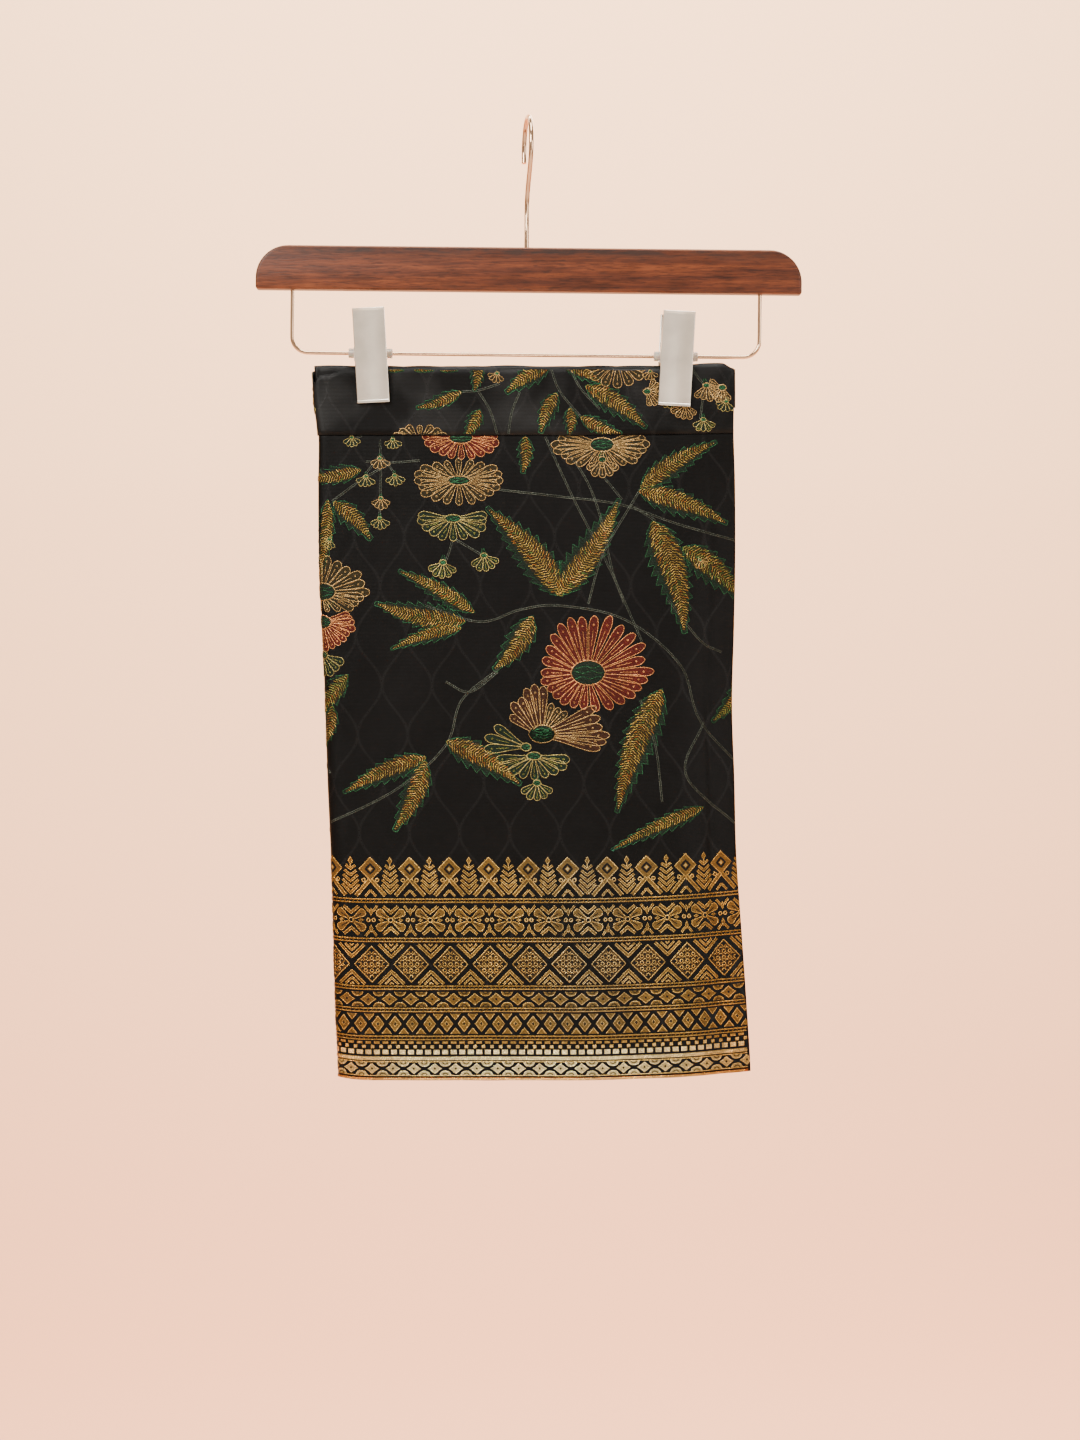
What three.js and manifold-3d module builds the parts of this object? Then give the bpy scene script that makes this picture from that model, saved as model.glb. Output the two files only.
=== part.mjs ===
// A samping, the short Malay brocade sarong, folded into four widths and clipped by its
// waistband to a wooden hanger. Millimetres, +Z up, the front faces -Y and +X is to the right.
// The origin is the inside top of the hook, where a rail carries the hanger.
//
// The cloth is one long strip with a waistband along its top edge. It is folded in half and in
// half again, so the outer layer runs from the hemmed free end at the front right, round the
// fold on the left, to the second fold at the back right. The two hidden widths lie inside it.
import * as THREE from "three";
import { mergeVertices } from "three/addons/utils/BufferGeometryUtils.js";
import Module from "manifold-3d";

const wasm = await Module();
wasm.setup();

// ---------------------------------------------------------------- driving dimensions

const SEAM_GAP = 0.3; // between neighbouring pieces
const WALL = 1.2; // one width of brocade with its waves and air
const MERGE_WITHIN = 1e-3;

// Waistband and body, by height.
const BAND_TOP_Z = -165.3;
const BAND_BACK_RISE = 2.2; // how far the back layers stand above the front one
const SEAM_Z = -208.9;
const HEM_Z = -633.6;
const BAND_PROUD = 0.8; // the waistband lies over the top of the body
const HEM_BACK_RISE = 1.5;

// The waistband's top edge stands up in a shoulder at its free end and dips into the fold.
const SHOULDER = { rise: 3.0, from: 52, over: 30, cornerDrop: 6.0, corner: 5 };
const FOLD_DIP = { depth: 6.5, at: 2, spread: 1.6 };

// The folded stack, one row for each height. left and right are the silhouette, half is half the
// stack's thickness, roll is the width of the rounded fold, curl is how far the right edge swings
// back, lift is how far the rows of the weave climb at the right edge.
const SECTIONS = [
  { z: -160.0, left: -142.4, right: 135.6, half: 3.0, roll: 3.6, curl: 0.0, lift: 0.6 },
  { z: -187.0, left: -140.9, right: 135.8, half: 3.0, roll: 4.0, curl: 0.6, lift: 1.0 },
  { z: -209.0, left: -138.4, right: 135.7, half: 3.5, roll: 4.8, curl: 2.4, lift: 1.6 },
  { z: -240.0, left: -138.6, right: 136.8, half: 4.2, roll: 6.2, curl: 6.4, lift: 2.0 },
  { z: -290.0, left: -138.2, right: 137.3, half: 5.0, roll: 8.0, curl: 12.0, lift: 2.6 },
  { z: -340.0, left: -135.8, right: 136.6, half: 5.6, roll: 9.4, curl: 16.0, lift: 3.1 },
  { z: -390.0, left: -134.0, right: 135.4, half: 6.2, roll: 10.6, curl: 18.0, lift: 3.6 },
  { z: -440.0, left: -132.4, right: 137.0, half: 6.7, roll: 11.6, curl: 19.0, lift: 4.1 },
  { z: -490.0, left: -130.2, right: 138.2, half: 7.2, roll: 12.6, curl: 19.0, lift: 4.6 },
  { z: -540.0, left: -128.8, right: 141.4, half: 7.6, roll: 13.4, curl: 15.5, lift: 4.9 },
  { z: -590.0, left: -127.4, right: 144.6, half: 7.9, roll: 14.2, curl: 11.5, lift: 5.2 },
  { z: -640.0, left: -125.2, right: 147.2, half: 8.2, roll: 14.8, curl: 8.5, lift: 5.4 },
];
const LIFT_FROM_X = 20; // the rows of the weave are level to the left of this
const CURL_WIDTH = 66; // the strip at the right edge that swings back
const LEFT_LIFT = 2.0; // the hem's left corner, drawn up by the fold
const LEFT_LIFT_WIDTH = 26;

// Soft vertical folds. x is where it runs at the top, lean how far it drifts to the right on the
// way down, depth is outwards when positive, and it fades in between from and full, as shares of
// the height below the seam.
const FRONT_FOLDS = [
  { x: -104, lean: 14, width: 15, depth: -0.8, from: 0.02, full: 0.45 },
  { x: -76, lean: 6, width: 20, depth: 0.9, from: 0.1, full: 0.9 },
  { x: -22, lean: -8, width: 26, depth: -0.9, from: 0.25, full: 1.0 },
  { x: 34, lean: 4, width: 22, depth: 1.0, from: 0.2, full: 0.95 },
  { x: 78, lean: -6, width: 16, depth: -1.0, from: 0.05, full: 0.6 },
  { x: 102, lean: 4, width: 12, depth: 1.1, from: 0.3, full: 1.0 },
  { x: 118, lean: 9, width: 6, depth: -1.3, from: 0.1, full: 0.95 },
];
const BACK_FOLDS = [
  { x: -98, lean: -6, width: 18, depth: 0.9, from: 0.05, full: 0.7 },
  { x: -52, lean: 9, width: 24, depth: -1.0, from: 0.15, full: 0.9 },
  { x: -4, lean: -5, width: 18, depth: 1.1, from: 0.3, full: 1.0 },
  { x: 46, lean: 10, width: 26, depth: -0.9, from: 0.1, full: 0.85 },
  { x: 92, lean: 2, width: 16, depth: 1.0, from: 0.2, full: 0.9 },
];

const SIDE_HEM_WIDTH = 17;
const SIDE_HEM_PLY = 0.9;
const BACK_TRIM = 2.5; // the back fold stops this far short of the front edge
const INNER_TRIM = 4.5; // the hidden widths stop this far short of it
const INNER_HEM_RISE = 3.0;
const LIP = 1.0; // one hidden width, where it shows at the hem and the top
const EDGE_LIP = 1.25; // and at the side
const EDGE_GROOVE = 9; // how deep the hidden widths are parted at the side
const HEM_GROOVE = 16; // at the hem
const BAND_GROOVE = 5; // and at the top
const EDGE_SLOT_NEARS = [-4, 3, 8, INNER_TRIM + EDGE_GROOVE];
const BODY_ROWS = 16;
const BAND_ROWS = 4;
const TAPE_ROWS = 2;
const FLAT_STEPS = 17;
const FOLD_STEPS = 8;
const EDGE_NEARS = [INNER_TRIM, 10, SIDE_HEM_WIDTH - 0.4, SIDE_HEM_WIDTH + 0.4, 22];
const FLAT_FROM = 30; // the even steps across start this far from the right edge
const FLAT_NEAR_STEP = 10;
const TAPE_HEIGHT = 26;
const TAPE_MIDDLE_Z = -179;
const TAPE_THICKNESS = 1.0;
const TAPE_PROUD = 1.0; // the closure tape shows past the end of the waistband

// Hanger.
const BORE_PAST = 20; // how far a hole's tool runs past the bar
const HANG_TILT = THREE.MathUtils.degToRad(0.6); // it hangs a little low on the right
const BAR = {
  length: 360, height: 29, thick: 12, topZ: -85.3, endWidth: 25, round: 1.6, offsetX: 1.6,
};
const HOOK = {
  wire: 3.2, inside: 19, turn: THREE.MathUtils.degToRad(7), tipAngle: -20, stemDepth: 18,
  neckAngle: 228, turns: 14,
};
// The hook's neck above the bar: across the hook's plane, and up.
const HOOK_NECK = [[0, -88], [0, -72], [1.1, -62], [0.6, -54], [-3.4, -46.5], [-8.4, -40.6]];
const FRAME_WIRE = { wire: 2.6, halfSpan: 154.3, z: -155.7, bend: 10.5, socket: 12 };
const CLIP = {
  width: 21.8, above: 29, below: 33.3, sheet: 0.9, rim: 3, earPast: 4.3, earHeight: 9,
  bearing: 0.55, pinPlay: 0.9, lean: THREE.MathUtils.degToRad(7), bevel: 0.6, corner: 1.4,
};
const CLIPS = [
  { name: "left", x: -102.3, swing: THREE.MathUtils.degToRad(-3.6) },
  { name: "right", x: 99.2, swing: THREE.MathUtils.degToRad(2.5) },
];
const SLEEVE = { inside: 1.65, outside: 3.2, length: 29 };
const SPRING = { inside: 3.5, outside: 5.0, length: 16 };

const COLOURS = {
  brocade: { color: 0x1c1a18, roughness: 0.55, metalness: 0.1 },
  tape: { color: 0x141414, roughness: 0.95, metalness: 0 },
  wood: { color: 0x6b3422, roughness: 0.45, metalness: 0 },
  nickel: { color: 0xd9cdbd, roughness: 0.2, metalness: 1 },
  clip: { color: 0xd2cfc6, roughness: 0.4, metalness: 0.8 },
  sleeve: { color: 0xe8e2d8, roughness: 0.4, metalness: 0 },
};

// ---------------------------------------------------------------- small helpers

const part = new THREE.Group();
const lerp = THREE.MathUtils.lerp;
const smooth = (t) => {
  const c = Math.min(1, Math.max(0, t));
  return c * c * (3 - 2 * c);
};

function addPiece(parent, name, geometry, colour) {
  const mesh = new THREE.Mesh(geometry, new THREE.MeshStandardMaterial(COLOURS[colour]));
  mesh.name = name;
  parent.add(mesh);
}

function geometryFrom(points, triangles) {
  const flat = new Float32Array(points.flatMap((p) => [p.x, p.y, p.z]));
  return new THREE.BufferGeometry()
    .setAttribute("position", new THREE.BufferAttribute(flat, 3))
    .setIndex(triangles.flat());
}

function toManifold(geometry) {
  const bare = geometry.clone();
  bare.deleteAttribute("normal");
  bare.deleteAttribute("uv");
  const merged = mergeVertices(bare, MERGE_WITHIN);
  return new wasm.Manifold(
    new wasm.Mesh({
      numProp: 3,
      vertProperties: merged.attributes.position.array,
      triVerts: new Uint32Array(merged.index.array),
    }),
  );
}

function fromManifold(solid) {
  const mesh = solid.getMesh();
  return new THREE.BufferGeometry()
    .setAttribute("position", new THREE.BufferAttribute(mesh.vertProperties, 3))
    .setIndex(new THREE.BufferAttribute(mesh.triVerts, 1));
}

const cut = (from, ...tools) =>
  fromManifold(tools.reduce((left, tool) => left.subtract(toManifold(tool)), toManifold(from)));
const join = (...solids) =>
  fromManifold(solids.map(toManifold).reduce((all, one) => all.add(one)));

// A wall between two surfaces, each a function of the column and the share of the way down,
// closed along its rims.
function wallBetween(outside, inside, across, down) {
  const points = [];
  const triangles = [];
  const row = across + 1;
  const layer = row * (down + 1);
  for (const surface of [outside, inside])
    for (let j = 0; j <= down; j++)
      for (let i = 0; i <= across; i++) points.push(surface(i, j / down));
  const quad = (a, b, c, d) => triangles.push([a, b, c], [a, c, d]);
  for (let j = 0; j < down; j++)
    for (let i = 0; i < across; i++) {
      const a = j * row + i;
      quad(a, a + row, a + row + 1, a + 1);
      quad(layer + a, layer + a + 1, layer + a + row + 1, layer + a + row);
    }
  const rim = [];
  for (let i = 0; i < across; i++) rim.push(i);
  for (let j = 0; j < down; j++) rim.push(j * row + across);
  for (let i = across; i > 0; i--) rim.push(down * row + i);
  for (let j = down; j > 0; j--) rim.push(j * row);
  rim.forEach((a, k) => {
    const b = rim[(k + 1) % rim.length];
    quad(a, b, layer + b, layer + a);
  });
  return facingOut(geometryFrom(points, triangles));
}

// A solid through closed rings of equal length, with flat ends.
function loft(rings) {
  const count = rings[0].length;
  const triangles = [];
  for (let k = 0; k + 1 < rings.length; k++)
    for (let i = 0; i < count; i++) {
      const a = k * count + i;
      const b = k * count + ((i + 1) % count);
      triangles.push([a, b, b + count], [a, b + count, a + count]);
    }
  for (const [ring, first] of [[rings[0], 0], [rings.at(-1), (rings.length - 1) * count]]) {
    const outline = ring.map((p) => new THREE.Vector2(p.x, p.y));
    for (const t of THREE.ShapeUtils.triangulateShape(outline, [])) {
      const face = t.map((i) => i + first);
      triangles.push(first ? face.reverse() : face);
    }
  }
  return facingOut(geometryFrom(rings.flat(), triangles));
}

// Turns every face round if the solid came out inside out.
function facingOut(geometry) {
  if (toManifold(geometry).volume() >= 0) return geometry;
  const index = geometry.index.array;
  for (let i = 0; i < index.length; i += 3) [index[i], index[i + 1]] = [index[i + 1], index[i]];
  return geometry;
}

// ---------------------------------------------------------------- the folded stack

// One row of the section table at any height, eased between its neighbours.
function sectionAt(z) {
  const last = SECTIONS.length - 1;
  const k = Math.max(0, Math.min(last - 1, SECTIONS.findIndex((s) => s.z <= z) - 1));
  const lower = z <= SECTIONS[last].z ? last - 1 : z >= SECTIONS[0].z ? 0 : k;
  const [p0, p1, p2, p3] = [lower - 1, lower, lower + 1, lower + 2].map(
    (i) => SECTIONS[Math.max(0, Math.min(last, i))],
  );
  const t = Math.max(0, Math.min(1, (p1.z - z) / (p1.z - p2.z)));
  const curve = (name) =>
    0.5 *
    (2 * p1[name] +
      (p2[name] - p0[name]) * t +
      (2 * p0[name] - 5 * p1[name] + 4 * p2[name] - p3[name]) * t * t +
      (3 * p1[name] - p0[name] - 3 * p2[name] + p3[name]) * t * t * t);
  return Object.fromEntries(
    ["left", "right", "half", "roll", "curl", "lift"].map((name) => [name, curve(name)]),
  );
}

const shareBelowSeam = (z) => Math.max(0, (SEAM_Z - z) / (SEAM_Z - HEM_Z));

function foldDepth(folds, x, z) {
  const share = shareBelowSeam(z);
  return folds.reduce((sum, fold) => {
    const offset = (x - fold.x - fold.lean * share) / fold.width;
    const fade = smooth((share - fold.from) / (fold.full - fold.from));
    return sum + fold.depth * fade * Math.exp(-offset * offset);
  }, 0);
}

// How far the stack has swung back at x, and how much longer a step through it is there.
function swingAt(s, x) {
  const swing = Math.max(0, (x - (s.right - CURL_WIDTH)) / CURL_WIDTH);
  const slope = (2 * s.curl * swing) / CURL_WIDTH;
  return { back: s.curl * swing * swing, stretch: Math.hypot(1, slope) };
}

// The outer surface of the stack. Positive inset moves towards its middle.
function frontY(x, z, inset) {
  const s = sectionAt(z);
  const { back, stretch } = swingAt(s, x);
  return back - (s.half - inset * stretch) - foldDepth(FRONT_FOLDS, x, z);
}

function backY(x, z, inset) {
  const s = sectionAt(z);
  const { back, stretch } = swingAt(s, x);
  return back + (s.half - inset * stretch) + foldDepth(BACK_FOLDS, x, z);
}

// How far the weave's rows stand above their nominal height at x.
function rowLift(x, z) {
  const s = sectionAt(z);
  const right = Math.max(0, (x - LIFT_FROM_X) / (s.right - LIFT_FROM_X));
  const left = Math.max(0, 1 - (x - s.left) / LEFT_LIFT_WIDTH);
  return s.lift * right * right + LEFT_LIFT * shareBelowSeam(z) * left * left;
}

// Stations round the outer width, from the free end at the front right, round the fold on the
// left, to the second fold at the back right. near is a distance from the right edge, share the
// way across a flat stretch, and turn the angle round the fold.
const FRONT_EDGE = [0, ...EDGE_NEARS].map((near) => ({ side: "front", near }));
const BACK_NEARS = [...EDGE_NEARS].reverse().concat(BACK_TRIM);
const BACK_EDGE = BACK_NEARS.map((near) => ({ side: "back", near }));
const flatShares = Array.from({ length: FLAT_STEPS + 1 }, (_, k) => k / FLAT_STEPS);
const FOLD = Array.from({ length: FOLD_STEPS - 1 }, (_, k) => ({
  side: "fold", turn: (Math.PI * (k + 1)) / FOLD_STEPS,
}));
const STATIONS = [
  ...FRONT_EDGE,
  ...flatShares.map((share) => ({ side: "front", share })),
  ...FOLD,
  ...flatShares.map((share) => ({ side: "back", share: 1 - share })),
  ...BACK_EDGE,
];
const FOLD_START = FRONT_EDGE.length + FLAT_STEPS;
const INNER_STATIONS = STATIONS.slice(1, -1);
const BAND_GROOVE_STATIONS = STATIONS.slice(FRONT_EDGE.length - 1, -EDGE_NEARS.length);

// A point of the stack at nominal height z, raised with the weave's rows.
function stationPoint({ side, near, share, turn }, z, inset) {
  const s = sectionAt(z);
  const foldX = s.left + s.roll;
  if (side === "fold") {
    const x = foldX - (s.roll - inset) * Math.sin(turn);
    const way = (1 - Math.cos(turn)) / 2;
    return raised(x, lerp(frontY(foldX, z, inset), backY(foldX, z, inset), way), z);
  }
  const x = near === undefined ? lerp(s.right - FLAT_FROM, foldX, share) : s.right - near;
  return raised(x, side === "front" ? frontY(x, z, inset) : backY(x, z, inset), z);
}

const raised = (x, y, z) => new THREE.Vector3(x, y, z + rowLift(x, z));

// How deep the outer width's inner face lies. The body's free end has its hem's second ply, and
// the waistband's has the closure tape on it.
const isFreeEnd = ({ side, near }) => side === "front" && near < SIDE_HEM_WIDTH;
const bodyWall = (station) => WALL + (isFreeEnd(station) ? SIDE_HEM_PLY : 0);
const bandWall = (station) => WALL + (isFreeEnd(station) ? TAPE_THICKNESS + SEAM_GAP : 0);

// ---------------------------------------------------------------- cloth pieces

// A wall through the stations between two nominal heights, each a function of the station's place.
function stationWall(stations, topZ, bottomZ, down, outerInset, innerInset) {
  const surface = (insetOf) => (i, v) => {
    const station = stations[i];
    return stationPoint(station, lerp(topZ(i), bottomZ(i), v), insetOf(station));
  };
  return wallBetween(surface(outerInset), surface(innerInset), stations.length - 1, down);
}

// 0 on the front, 1 on the back.
const backShare = (i) => smooth((i - FOLD_START - 1) / (FOLD_STEPS - 1));

// How far the station at i lies from the free end.
function nearFreeEnd(i) {
  if (STATIONS[i].side !== "front") return Infinity;
  return STATIONS[i].near ?? FLAT_FROM + FLAT_NEAR_STEP * (i - FRONT_EDGE.length);
}

function bandTopZ(i) {
  const near = nearFreeEnd(i);
  const shoulder = SHOULDER.rise * smooth((SHOULDER.from - near) / SHOULDER.over)
    - SHOULDER.cornerDrop * smooth(1 - near / SHOULDER.corner);
  const dip = FOLD_DIP.depth * Math.exp(-(((i - FOLD_START - FOLD_DIP.at) / FOLD_DIP.spread) ** 2));
  return BAND_TOP_Z + shoulder - dip + BAND_BACK_RISE * backShare(i);
}

function buildCloth() {
  const band = stationWall(
    STATIONS, bandTopZ, () => SEAM_Z, BAND_ROWS, () => -BAND_PROUD, () => WALL,
  );
  addPiece(part, "waistband", band, "brocade");
  const body = stationWall(
    STATIONS, () => SEAM_Z - SEAM_GAP, (i) => HEM_Z + HEM_BACK_RISE * backShare(i), BODY_ROWS,
    () => 0, bodyWall,
  );
  addPiece(part, "body_wrap", body, "brocade");
  buildClosureTape();
  buildInnerWidths();
  buildInnerWaistband();
}

// Hook-and-loop tape inside the free end of the waistband. Its edge shows past the end.
function buildClosureTape() {
  const nears = [-TAPE_PROUD, INNER_TRIM, 10, SIDE_HEM_WIDTH - 0.4];
  const stations = nears.map((near) => ({ side: "front", near }));
  const top = TAPE_MIDDLE_Z + TAPE_HEIGHT / 2;
  const inset = WALL + SEAM_GAP;
  const tape = stationWall(
    stations, () => top, () => top - TAPE_HEIGHT, TAPE_ROWS,
    () => inset, () => inset + TAPE_THICKNESS,
  );
  addPiece(part, "closure_tape", tape, "tape");
}

// A solid that fills the stack inside the given insets.
function stationSlab(stations, heights, insetOf) {
  const ring = (z) => stations.map((station) => stationPoint(station, z, insetOf(station)));
  return loft(heights.map(ring));
}

const heightsBetween = (top, bottom, steps) =>
  Array.from({ length: steps + 1 }, (_, k) => lerp(top, bottom, k / steps));

// The two hidden widths share one solid. They part along the side and the hem, where they show.
function buildInnerWidths() {
  const inset = (station) => bodyWall(station) + SEAM_GAP;
  const top = SEAM_Z - SEAM_GAP;
  const bottom = HEM_Z + INNER_HEM_RISE;
  const heights = heightsBetween(top, HEM_Z, BODY_ROWS).slice(0, -1).concat(bottom);
  const slab = stationSlab(INNER_STATIONS, heights, inset);
  const hemHeights = heightsBetween(bottom + HEM_GROOVE, bottom - 4, 3);
  const hemGroove = stationSlab(INNER_STATIONS, hemHeights, (station) => inset(station) + LIP);
  const slotStations = [
    ...EDGE_SLOT_NEARS.map((near) => ({ side: "front", near })),
    ...[...EDGE_SLOT_NEARS].reverse().map((near) => ({ side: "back", near })),
  ];
  const edgeGroove = stationSlab(
    slotStations, heightsBetween(top + 4, bottom - 4, BODY_ROWS),
    (station) => inset(station) + EDGE_LIP,
  );
  addPiece(part, "inner_widths", cut(slab, hemGroove, edgeGroove), "brocade");
}

function buildInnerWaistband() {
  const top = BAND_TOP_Z + BAND_BACK_RISE;
  const inset = (station) => bandWall(station) + SEAM_GAP;
  const slab = stationSlab(INNER_STATIONS, heightsBetween(top, SEAM_Z, BAND_ROWS), inset);
  const grooveHeights = heightsBetween(top + 4, top - BAND_GROOVE, 1);
  const groove = stationSlab(BAND_GROOVE_STATIONS, grooveHeights, () => WALL + SEAM_GAP + LIP);
  addPiece(part, "inner_waistband", cut(slab, groove), "brocade");
}

// ---------------------------------------------------------------- hanger

// A curve that gives its own points back in equal steps, so a wire has a ring at each of them.
class StepCurve extends THREE.CatmullRomCurve3 {
  getUtoTmapping(u) {
    return u;
  }
}

function wireAlong(points, diameter, segments) {
  const circle = new THREE.Shape().absarc(0, 0, diameter / 2, 0, 2 * Math.PI);
  return new THREE.ExtrudeGeometry(circle, {
    steps: points.length - 1, curveSegments: segments, bevelEnabled: false,
    extrudePath: new StepCurve(points, false, "centripetal"),
  });
}

function cylinderAlong(axis, radius, length, sides) {
  const made = new THREE.CylinderGeometry(radius, radius, length, sides);
  if (axis === "x") made.rotateZ(Math.PI / 2);
  if (axis === "z") made.rotateX(Math.PI / 2);
  return made;
}

function tubeAlongX(inside, outside, length) {
  const half = length / 2;
  const profile = [
    [inside, -half], [outside, -half], [outside, half], [inside, half], [inside, -half],
  ].map(([r, y]) => new THREE.Vector2(r, y));
  return new THREE.LatheGeometry(profile, 16).rotateZ(Math.PI / 2);
}

// The bar: straight below, with each end rounded over from the bottom corner to the top.
function buildBar(hanger) {
  const half = BAR.length / 2;
  const flat = half - BAR.endWidth;
  const outline = new THREE.Shape()
    .moveTo(-half, 0)
    .lineTo(half, 0)
    .absellipse(flat, 0, BAR.endWidth, BAR.height, 0, Math.PI / 2)
    .lineTo(-flat, BAR.height)
    .absellipse(-flat, 0, BAR.endWidth, BAR.height, Math.PI / 2, Math.PI);
  const solid = new THREE.ExtrudeGeometry(outline, {
    depth: BAR.thick - 2 * BAR.round,
    curveSegments: 5,
    bevelThickness: BAR.round,
    bevelSize: BAR.round,
    bevelOffset: -BAR.round,
    bevelSegments: 2,
  });
  solid.rotateX(Math.PI / 2);
  solid.translate(BAR.offsetX, BAR.thick / 2 - BAR.round, BAR.topZ - BAR.height);
  const stemFloor = BAR.topZ - HOOK.stemDepth - SEAM_GAP;
  const stemHole = cylinderAlong("z", HOOK.wire / 2 + SEAM_GAP, HOOK.stemDepth + BORE_PAST, 12);
  stemHole.translate(0, 0, stemFloor + (HOOK.stemDepth + BORE_PAST) / 2);
  const sockets = [-1, 1].map((side) => {
    const depth = FRAME_WIRE.socket + BORE_PAST;
    const hole = cylinderAlong("z", FRAME_WIRE.wire / 2 + SEAM_GAP, depth, 10);
    const roof = BAR.topZ - BAR.height + FRAME_WIRE.socket + SEAM_GAP;
    return hole.translate(side * FRAME_WIRE.halfSpan, 0, roof - depth / 2);
  });
  addPiece(hanger, "hanger_bar", cut(solid, stemHole, ...sockets), "wood");
}

// The hook lies in an upright plane that is turned a little about its stem.
function buildHook(hanger) {
  const radius = HOOK.inside + HOOK.wire / 2;
  const centreZ = HOOK.wire / 2 - radius;
  const inPlane = [[0, BAR.topZ - HOOK.stemDepth], ...HOOK_NECK];
  for (let k = 0; k <= HOOK.turns; k++) {
    const angle = THREE.MathUtils.degToRad(lerp(HOOK.neckAngle, HOOK.tipAngle, k / HOOK.turns));
    inPlane.push([radius * Math.cos(angle), centreZ + radius * Math.sin(angle)]);
  }
  const [sin, cos] = [Math.sin(HOOK.turn), Math.cos(HOOK.turn)];
  const points = inPlane.map(([p, z]) => new THREE.Vector3(-p * sin, p * cos, z));
  addPiece(hanger, "hook", wireAlong(points, HOOK.wire, 5), "nickel");
}

// The wire frame below the bar: down from one socket, along, and up into the other.
function buildFrameWire(hanger) {
  const { halfSpan, z, bend, socket } = FRAME_WIRE;
  const top = BAR.topZ - BAR.height + socket;
  const corner = (side) =>
    [0, 22.5, 45, 67.5, 90].map((degrees) => {
      const a = THREE.MathUtils.degToRad(degrees);
      const x = side * (halfSpan - bend + bend * Math.cos(a));
      return new THREE.Vector3(x, 0, z + bend - bend * Math.sin(a));
    });
  const leg = (side) => [
    new THREE.Vector3(side * halfSpan, 0, top),
    new THREE.Vector3(side * halfSpan, 0, (top + z) / 2),
  ];
  const along = [-1, 0, 1].map((share) => new THREE.Vector3(share * halfSpan / 2, 0, z));
  const points = [
    ...leg(-1), ...corner(-1), ...along, ...corner(1).reverse(), ...leg(1).reverse(),
  ];
  addPiece(hanger, "frame_wire", wireAlong(points, FRAME_WIRE.wire, 4), "nickel");
}

// How far the middle of the pin lies from a jaw's outer face, along the jaw's own normal, and how
// far it lies above the jaw's lower edge.
const RIM_Y = SECTIONS[1].half + BAND_PROUD + CLIP.bearing;
const PIN = {
  depth: (RIM_Y + CLIP.rim * Math.cos(CLIP.lean)) * Math.cos(CLIP.lean)
    + CLIP.below * Math.sin(CLIP.lean),
  height: CLIP.below * Math.cos(CLIP.lean)
    - (RIM_Y + CLIP.rim * Math.cos(CLIP.lean)) * Math.sin(CLIP.lean),
};

// One jaw: a shallow pan with its open side inwards, and two ears that hang on the sleeve. Its
// outer face lies in the plane y = 0 and its lower edge at z = 0.
function jawGeometry(earX) {
  const { width, above, below, sheet, rim, earPast, earHeight, bevel, corner } = CLIP;
  const height = above + below;
  const pan = new THREE.ExtrudeGeometry(roundedRectangle(width, height, corner), {
    depth: 2 * rim, curveSegments: 3,
    bevelThickness: bevel, bevelSize: bevel, bevelOffset: -bevel, bevelSegments: 2,
  });
  pan.rotateX(Math.PI / 2);
  pan.translate(0, 2 * rim + bevel, height / 2);
  const hollow = new THREE.BoxGeometry(width - 2 * sheet, 4 * rim, height - 2 * sheet);
  hollow.translate(0, 2 * rim + sheet, height / 2);
  const beyondRim = new THREE.BoxGeometry(width + 4, 4 * rim, height + 4);
  beyondRim.translate(0, 3 * rim, height / 2);
  const reach = PIN.depth + earPast - sheet / 2;
  const ears = [-1, 1].map((side) =>
    new THREE.BoxGeometry(sheet, reach, earHeight)
      .translate(side * earX, sheet / 2 + reach / 2, PIN.height));
  return join(cut(pan, hollow, beyondRim), ...ears);
}

function roundedRectangle(width, height, radius) {
  const [x, y] = [width / 2, height / 2];
  return new THREE.Shape()
    .moveTo(-x + radius, -y)
    .lineTo(x - radius, -y)
    .absarc(x - radius, -y + radius, radius, -Math.PI / 2, 0)
    .lineTo(x, y - radius)
    .absarc(x - radius, y - radius, radius, 0, Math.PI / 2)
    .lineTo(-x + radius, y)
    .absarc(-x + radius, y - radius, radius, Math.PI / 2, Math.PI)
    .lineTo(-x, -y + radius)
    .absarc(-x + radius, -y + radius, radius, Math.PI, 1.5 * Math.PI);
}

// The jaw leans, so that its lower rim bears on the cloth and its top stands off.
function buildJaw(clip, name, isBack, earX) {
  const solid = jawGeometry(earX);
  solid.rotateX(CLIP.lean);
  solid.translate(0, -RIM_Y - CLIP.rim * Math.cos(CLIP.lean), -CLIP.below);
  const pinHole = cylinderAlong("x", SLEEVE.outside + CLIP.pinPlay, CLIP.width + 8, 16);
  const jaw = cut(solid, pinHole);
  if (isBack) jaw.rotateZ(Math.PI);
  addPiece(clip, name, jaw, "clip");
}

// The jaws swing a little on the sleeve, which lies along the wire.
function buildClip(hanger, { name, x, swing }) {
  const onWire = new THREE.Group();
  onWire.position.set(x, 0, FRAME_WIRE.z);
  hanger.add(onWire);
  const jaws = new THREE.Group();
  jaws.rotation.y = swing;
  onWire.add(jaws);
  const outerEar = CLIP.width / 2 - CLIP.sheet / 2;
  const innerEar = outerEar - CLIP.sheet - SEAM_GAP;
  buildJaw(jaws, `clip_${name}_front`, false, outerEar);
  buildJaw(jaws, `clip_${name}_back`, true, innerEar);
  const sleeve = tubeAlongX(SLEEVE.inside, SLEEVE.outside, SLEEVE.length);
  addPiece(onWire, `clip_${name}_sleeve`, sleeve, "sleeve");
  const spring = tubeAlongX(SPRING.inside, SPRING.outside, SPRING.length);
  addPiece(onWire, `clip_${name}_spring`, spring, "nickel");
}

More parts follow.
